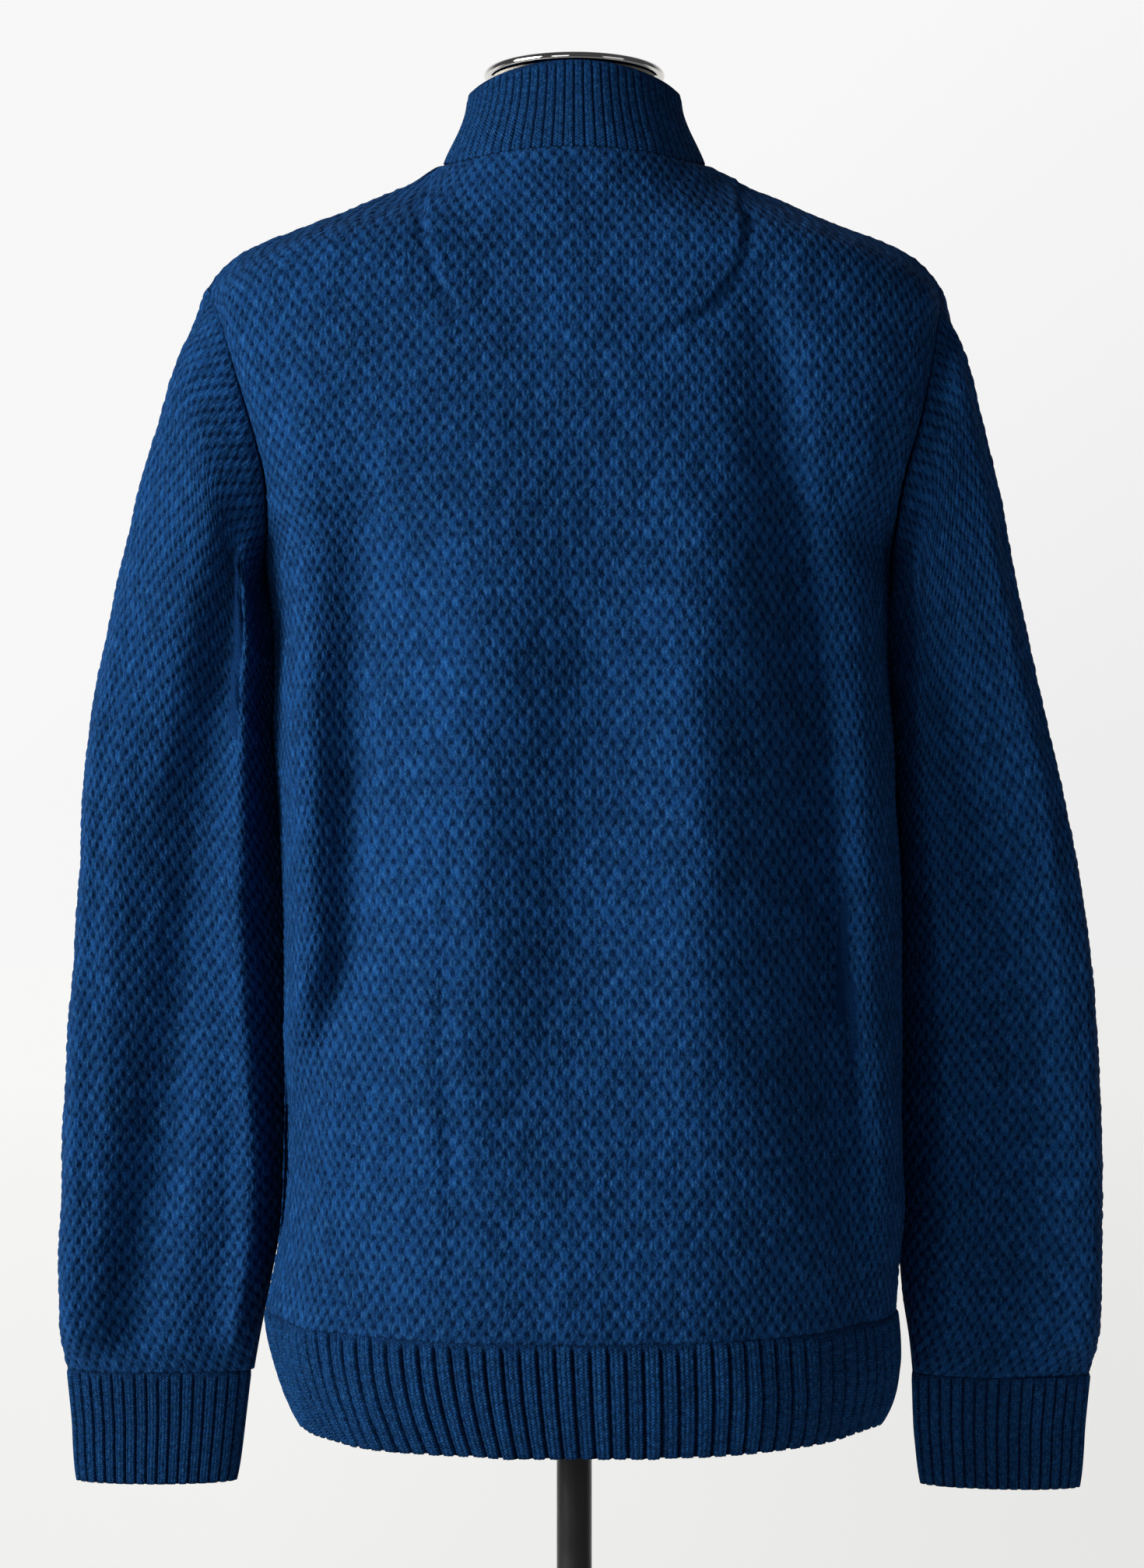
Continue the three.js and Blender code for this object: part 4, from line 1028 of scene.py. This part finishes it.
# One side of a tooth, outwards from the zip's middle and up: a wide foot on the tape, a neck,
# and a rounded head past the middle.
TOOTH_OUTLINE = [(2.4, 0.62), (1.0, 0.55), (0.2, 0.42), (-0.5, 0.62), (-1.0, 0.36)]
TOOTH_LEVELS = [(-1.25, 0.8), (-0.95, 1.0), (0.95, 1.0), (1.25, 0.8)]  # depth and size


def front_line(name, side):
    """The front edge from the hem's foot to the collar's top, and its outward direction."""
    hem = hem_control(*foot_of(front_rows[name]))[:-1, 0]
    panel = front_rows[name][:, 0]
    collar = collar_control[1:, -1 if side > 0 else 0]
    line = np.vstack([hem, panel, collar])
    line = along(line, np.linspace(0, 1, LINE_STEPS))
    slope = np.gradient(line, axis=0)
    out = np.stack([0 * slope[:, 0], -slope[:, 2], slope[:, 1]], axis=1)
    return line, out / np.linalg.norm(out, axis=1, keepdims=True)


tapes = []
for name, side in [("left", 1), ("right", -1)]:
    line, out = front_line(name, side)
    columns = []
    for across in np.linspace(0, 1, TAPE_COLUMNS):
        seat = line - out * (PANEL_WALL + TAPE_CLEAR)
        seat[:, 0] = side * (0.6 + 11 * across)
        seat[:, 1] += 1.8 * across**2
        columns.append(seat)
    outer = np.stack(columns, axis=1)
    grid = {"base": outer, "normal": np.repeat(out[:, None], TAPE_COLUMNS, axis=1)}
    tape = shell(f"zip_tape_{name}_woven", outer, inside_of(grid, TAPE_WALL, 60, 3))
    declare(tape, f"zip_tape_{name}")
    tapes.append(tape)


def zip_teeth():
    """Every tooth of the closed zip in one mesh: turn about, one from each tape."""
    line, out = front_line("left", 1)
    length = lengths(line)
    ring = TOOTH_OUTLINE + [(x, -z) for x, z in reversed(TOOTH_OUTLINE)]
    n = len(ring)
    points, faces = [], []
    low = np.interp(HEM_Z + 6, line[:, 2], length)
    high = np.interp(ZIP_TOP_Z, line[:, 2], length)
    for i, at in enumerate(np.arange(low, high, TEETH_PITCH / 2)):
        side = 1 if i % 2 else -1
        centre = np.array([np.interp(at, length, line[:, k]) for k in range(3)])
        face = np.array([np.interp(at, length, out[:, k]) for k in range(3)])
        centre = centre - face * (PANEL_WALL + TAPE_CLEAR + TAPE_WALL / 2)
        up = np.cross(face, (1, 0, 0))
        start = len(points)
        for depth, grow in TOOTH_LEVELS:
            for x, z in ring:
                spot = np.array([side * (0.7 + (x - 0.7) * grow), 0, 0])
                spot = spot + up * z * grow + face * depth
                points.append([spot[0], centre[1] + spot[1], centre[2] + spot[2]])
        tooth = []
        for level in range(3):
            for k in range(n):
                a, b = start + level * n + k, start + level * n + (k + 1) % n
                tooth.append((a, b, b + n, a + n))
        tooth.append(tuple(range(start, start + n))[::-1])
        tooth.append(tuple(range(start + 3 * n, start + 4 * n)))
        faces += tooth if side > 0 else [face[::-1] for face in tooth]
    obj = mesh_object("zip_teeth", points, faces, smooth_shade=False)
    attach(obj, "garment")
    return obj


teeth = zip_teeth()

# ---------- neck facing ----------

FACING_ROWS = 40
FACING_CLEAR = 1.6  # from the back panel's inner face


def facing_cloth():
    """The half-moon of the same knit, behind the back below the neck."""
    rings = []
    across = np.linspace(-1, 1, 57)
    depth = 6.2 * np.maximum(1 - 0.97 * np.abs(across) ** 3, 0) ** 0.45
    normal = normals_of(back_rows)
    for share in np.linspace(0, 1, FACING_ROWS):
        step = ROW_STEPS[-1] - 0.6 - depth * (1 - share)
        place = np.interp(step, ROW_STEPS, np.arange(len(ROW_STEPS)))
        rows = spline_weights(len(back_rows), place)
        columns = spline_weights(back_rows.shape[1], HALF_BACK_COLUMNS + across * 4.6)
        spot = np.einsum("ni,ijk,nj->nk", rows, back_rows, columns)
        out = np.einsum("ni,ijk,nj->nk", rows, normal, columns)
        rings.append(spot - out * (PANEL_WALL + FACING_CLEAR))
    points = np.array(rings)
    out = normals_of(points)
    a = across[None, :] * 12 * np.ones((FACING_ROWS, 1))
    b = np.arange(FACING_ROWS)[:, None] / 2.4 * np.ones_like(a)
    grain = moss(a, b, 97)
    outer = points + out * 0.3 * grain[..., None]
    # The grain height goes into the knit values, and the wool material paints shade and highlights
    # from it.
    return {"outer": outer, "base": points, "normal": out, "knit": np.stack([a, b, grain], axis=-1)}


facing = facing_cloth()
facing_piece = shell(
    "neck_facing_knit", facing["outer"], inside_of(facing, 1.2, 12, 12), facing["knit"]
)
declare(facing_piece, "neck_facing")

# ---------- dress form, cap, pole and base ----------

# z halfWidth yBack yFront round yMid
FORM_RINGS = [
    (800, 128, 92, -88, 2, 0), (860, 140, 104, -98, 2, 0), (930, 142, 100, -98, 2, 0),
    (1010, 136, 94, -96, 2, 0), (1090, 142, 96, -100, 2, 0), (1170, 152, 100, -102, 2, 0),
    (1240, 160, 98, -90, 1.9, 0), (1290, 166, 88, -74, 1.75, 0), (1318, 172, 70, -52, 1.6, 0),
    (1340, 172, 54, -30, 1.3, 0),
]
FORM_NECK = [
    (1401, 59, 50, -38, 1.6, 0), (1420, 55, 52, -46, 2, 0), (1436, 51, 49, -47, 2, 0),
    (1452, 49.5, 49, -49, 2, 0),
]
SHOULDER_CLEAR = PANEL_WALL + 1.4


def circle(segments):
    return np.linspace(0, 2 * math.pi, segments, endpoint=False)


def form_points(segments=96):
    rows = list(FORM_RINGS)
    for i in range(len(SHOULDER_LINE) - 4, 1, -1):
        before, after = SHOULDER_LINE[i - 1], SHOULDER_LINE[i + 1]
        slope = np.array([after[0] - before[0], after[2] - before[2]])
        slope /= np.linalg.norm(slope)
        x = SHOULDER_LINE[i, 0] + slope[1] * SHOULDER_CLEAR
        z = SHOULDER_LINE[i, 2] - slope[0] * SHOULDER_CLEAR
        rows.append((z, x, 46, -26, 1.2, SHOULDER_LINE[i, 1] + 1.5))
    rows = np.array(sorted(rows + FORM_NECK))
    heights = []
    for low, high in zip(rows[:-1, 0], rows[1:, 0]):
        heights += list(np.linspace(low, high, max(2, round((high - low) / 8)), endpoint=False))
    heights.append(rows[-1, 0])
    angle = circle(segments)

    def ring(row):
        z, half_width, y_back, y_front, roundness, y_mid = row
        deep, across = rounded(angle, roundness)
        y = y_mid + np.where(deep > 0, y_back * deep, -y_front * deep)
        return np.stack([half_width * across, y, np.full(segments, z)], axis=1)

    rings = np.array([ring(row) for row in rows])
    places = np.interp(heights, rows[:, 0], np.arange(len(rows)))
    cell = np.clip(places.astype(int), 0, len(rows) - 2)
    t = (places - cell)[:, None, None]
    return rings[cell] * (1 - t) + rings[cell + 1] * t


def closed_skin(name, rings, node):
    """A skin through rings of points, closed by a fan at each end."""
    count = rings.shape[1]
    index = np.arange(len(rings) * count).reshape(len(rings), count)
    index = np.hstack([index, index[:, :1]])
    faces = quads(index).tolist()
    points = rings.reshape(-1, 3).tolist()
    for ring, flip in ((index[0].tolist(), True), (index[-1].tolist(), False)):
        hub = len(points)
        points.append(np.mean([points[i] for i in ring[:-1]], axis=0).tolist())
        for a, b in zip(ring[:-1], ring[1:]):
            faces.append((hub, b, a) if flip else (hub, a, b))
    obj = mesh_object(name, points, faces)
    tidy_mesh(obj)
    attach(obj, "garment")
    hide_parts(node)
    return obj


def turned(name, profile, segments, node):
    """A turned part from a profile of (radius, z), its corners already eased."""
    angle = circle(segments)
    rings = [
        np.stack([r * np.cos(angle), r * np.sin(angle), np.full(segments, z)], axis=1)
        for r, z in profile
    ]
    return closed_skin(name, np.array(rings), node)


def eased(corners, radius, steps=4):
    """Rounds every inner corner of a profile of (radius, z) points."""
    eased_line = [corners[0]]
    for before, corner, after in zip(corners[:-2], corners[1:-1], corners[2:]):
        before, corner, after = (np.array(p, float) for p in (before, corner, after))
        back, ahead = before - corner, after - corner
        reach = min(radius, 0.45 * np.linalg.norm(back), 0.45 * np.linalg.norm(ahead))
        start = corner + back / np.linalg.norm(back) * reach
        end = corner + ahead / np.linalg.norm(ahead) * reach
        for t in np.linspace(0, 1, steps):
            eased_line.append(tuple((1 - t) ** 2 * start + 2 * t * (1 - t) * corner + t * t * end))
    eased_line.append(corners[-1])
    return eased_line


form = closed_skin("dress_form_skin", form_points(), "dress_form")
cap_profile = [
    (1, 1452.3), (46, 1452.3), (46.5, 1459), (50, 1460), (51.5, 1462), (51.5, 1464),
    (50, 1465.5), (46, 1466), (1, 1467),
]
cap = turned("neck_cap_turned", eased(cap_profile, 1.0), 128, "neck_cap")
pole_profile = [(1, 14.3), (10, 14.3), (10, 799.7), (1, 799.7)]
pole = turned("pole_tube", eased(pole_profile, 0.8), 64, "pole")
base_profile = [(1, 0), (170, 0), (170, 8), (166, 11), (40, 14), (1, 14)]
base = turned("base_disc", eased(base_profile, 2.5), 160, "base")

# ---------- finishes ----------


def dress_in(obj, material):
    if obj.data.materials:
        for i in range(len(obj.data.materials)):
            obj.data.materials[i] = material
    else:
        obj.data.materials.append(material)


moss_wool = wool_material("moss_wool", False)
rib_wool = wool_material("rib_wool", True)
tape_cloth = cloth_material("tape_cloth", linear(10, 22, 42), linear(16, 32, 58), 1500.0)
form_cloth = cloth_material("form_cloth", linear(226, 221, 210), linear(238, 234, 226), 1100.0)
nickel = metal_material("nickel", linear(188, 188, 190), 0.22, 0.36, 1.0, 300.0)
chrome = metal_material("chrome", linear(228, 226, 222), 0.04, 0.10, 1.0, 40.0)
black = metal_material("black_enamel", linear(24, 24, 26), 0.28, 0.42, 0.0, 60.0)
for obj in knitted:
    dress_in(obj, rib_wool if obj.name.endswith("_rib") else moss_wool)
dress_in(facing_piece, moss_wool)
for obj in tapes:
    dress_in(obj, tape_cloth)
for obj in (teeth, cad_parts["zip_slider"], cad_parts["zip_pull"]):
    dress_in(obj, nickel)
dress_in(form, form_cloth)
dress_in(cap, chrome)
dress_in(pole, black)
dress_in(base, black)

# ---------- studio ----------


def floor():
    """A pale floor that glows far behind the object, brighter towards +X on the key light's side, so
    that it runs into the backdrop: a painted glow, not a lamp.
    """
    half = 16 / MM
    corners = [(-half, -half, 0), (half, -half, 0), (half, half, 0), (-half, half, 0)]
    obj = mesh_object("floor", corners, [(0, 1, 2, 3)], smooth_shade=False)
    obj.location.z = -0.0005
    material, g = new_material("pale_floor")
    parts = g.split(g.place())
    far = g.mapped(parts["Y"], -1.2, -2.3, 0.0, 1.0)
    glow = g.mapped(parts["X"], -0.9, 0.5, 0.81, 0.90)
    glow = g.math("MULTIPLY", glow, g.mapped(parts["Y"], -2.4, -9.0, 0.97, 1.04))
    g.shade({
        "Base Color": g.mix(far, (0.70, 0.70, 0.69, 1), (0.0, 0.0, 0.0, 1)),
        "Roughness": 0.8,
        "Specular IOR Level": 0.0,
        "Emission Color": (1.0, 1.0, 0.985, 1),
        "Emission Strength": g.math("MULTIPLY", far, glow),
    })
    dress_in(obj, material)


def sky():
    """A bright backdrop on the far side of the object and a dim room elsewhere."""
    world = bpy.data.worlds.new("studio")
    bpy.context.scene.world = world
    world.use_nodes = True
    g = Graph(world.node_tree)
    parts = g.split(g.node("TexCoord").outputs["Generated"])
    behind = g.mapped(parts["Y"], -0.88, -0.5, 1.0, 0.0)
    side = g.mapped(parts["X"], -0.2, 0.2, 0.84, 0.935)
    high = g.math("MULTIPLY", g.math("MAXIMUM", parts["Z"], 0.0), 0.3)
    level = g.math("MINIMUM", g.math("ADD", side, high), 0.935)
    white = g.node("CombineColor", {0: level, 1: level, 2: level}).outputs[0]
    color = g.mix(behind, (0.062, 0.064, 0.072, 1), white)
    g.put(g.tree.nodes["Background"].inputs["Color"], color)


def area_light(name, place, target_z, size, power, color):
    data = bpy.data.lights.new(name, "AREA")
    data.shape = "RECTANGLE"
    data.size, data.size_y = size
    data.energy = power
    data.color = color
    obj = linked(name, data)
    obj.location = place
    obj.rotation_mode = "QUATERNION"
    aim = Vector((0, 0, target_z)) - Vector(place)
    obj.rotation_quaternion = aim.to_track_quat("-Z", "Y")


floor()
sky()
area_light("key", (2.66, 1.4, 2.05), 1.15, (2.0, 1.6), 142, (1, 0.99, 0.97))
area_light("front", (1.0, 3.2, 1.95), 1.1, (1.2, 1.2), 11, (0.98, 0.99, 1))
area_light("fill", (-2.5, 2.1, 1.8), 1.1, (1.6, 1.6), 5, (0.98, 0.99, 1))

camera = linked("camera", bpy.data.cameras.new("camera"))
camera.location = (0.0013, 1.75, 1.06)
camera.rotation_euler = (math.radians(90), 0, math.radians(180))
camera.data.sensor_width = 36
camera.data.lens = 70.52
camera.data.clip_start = 0.05
camera.data.clip_end = 60
bpy.context.scene.camera = camera
bpy.context.scene.view_settings.view_transform = "Standard"
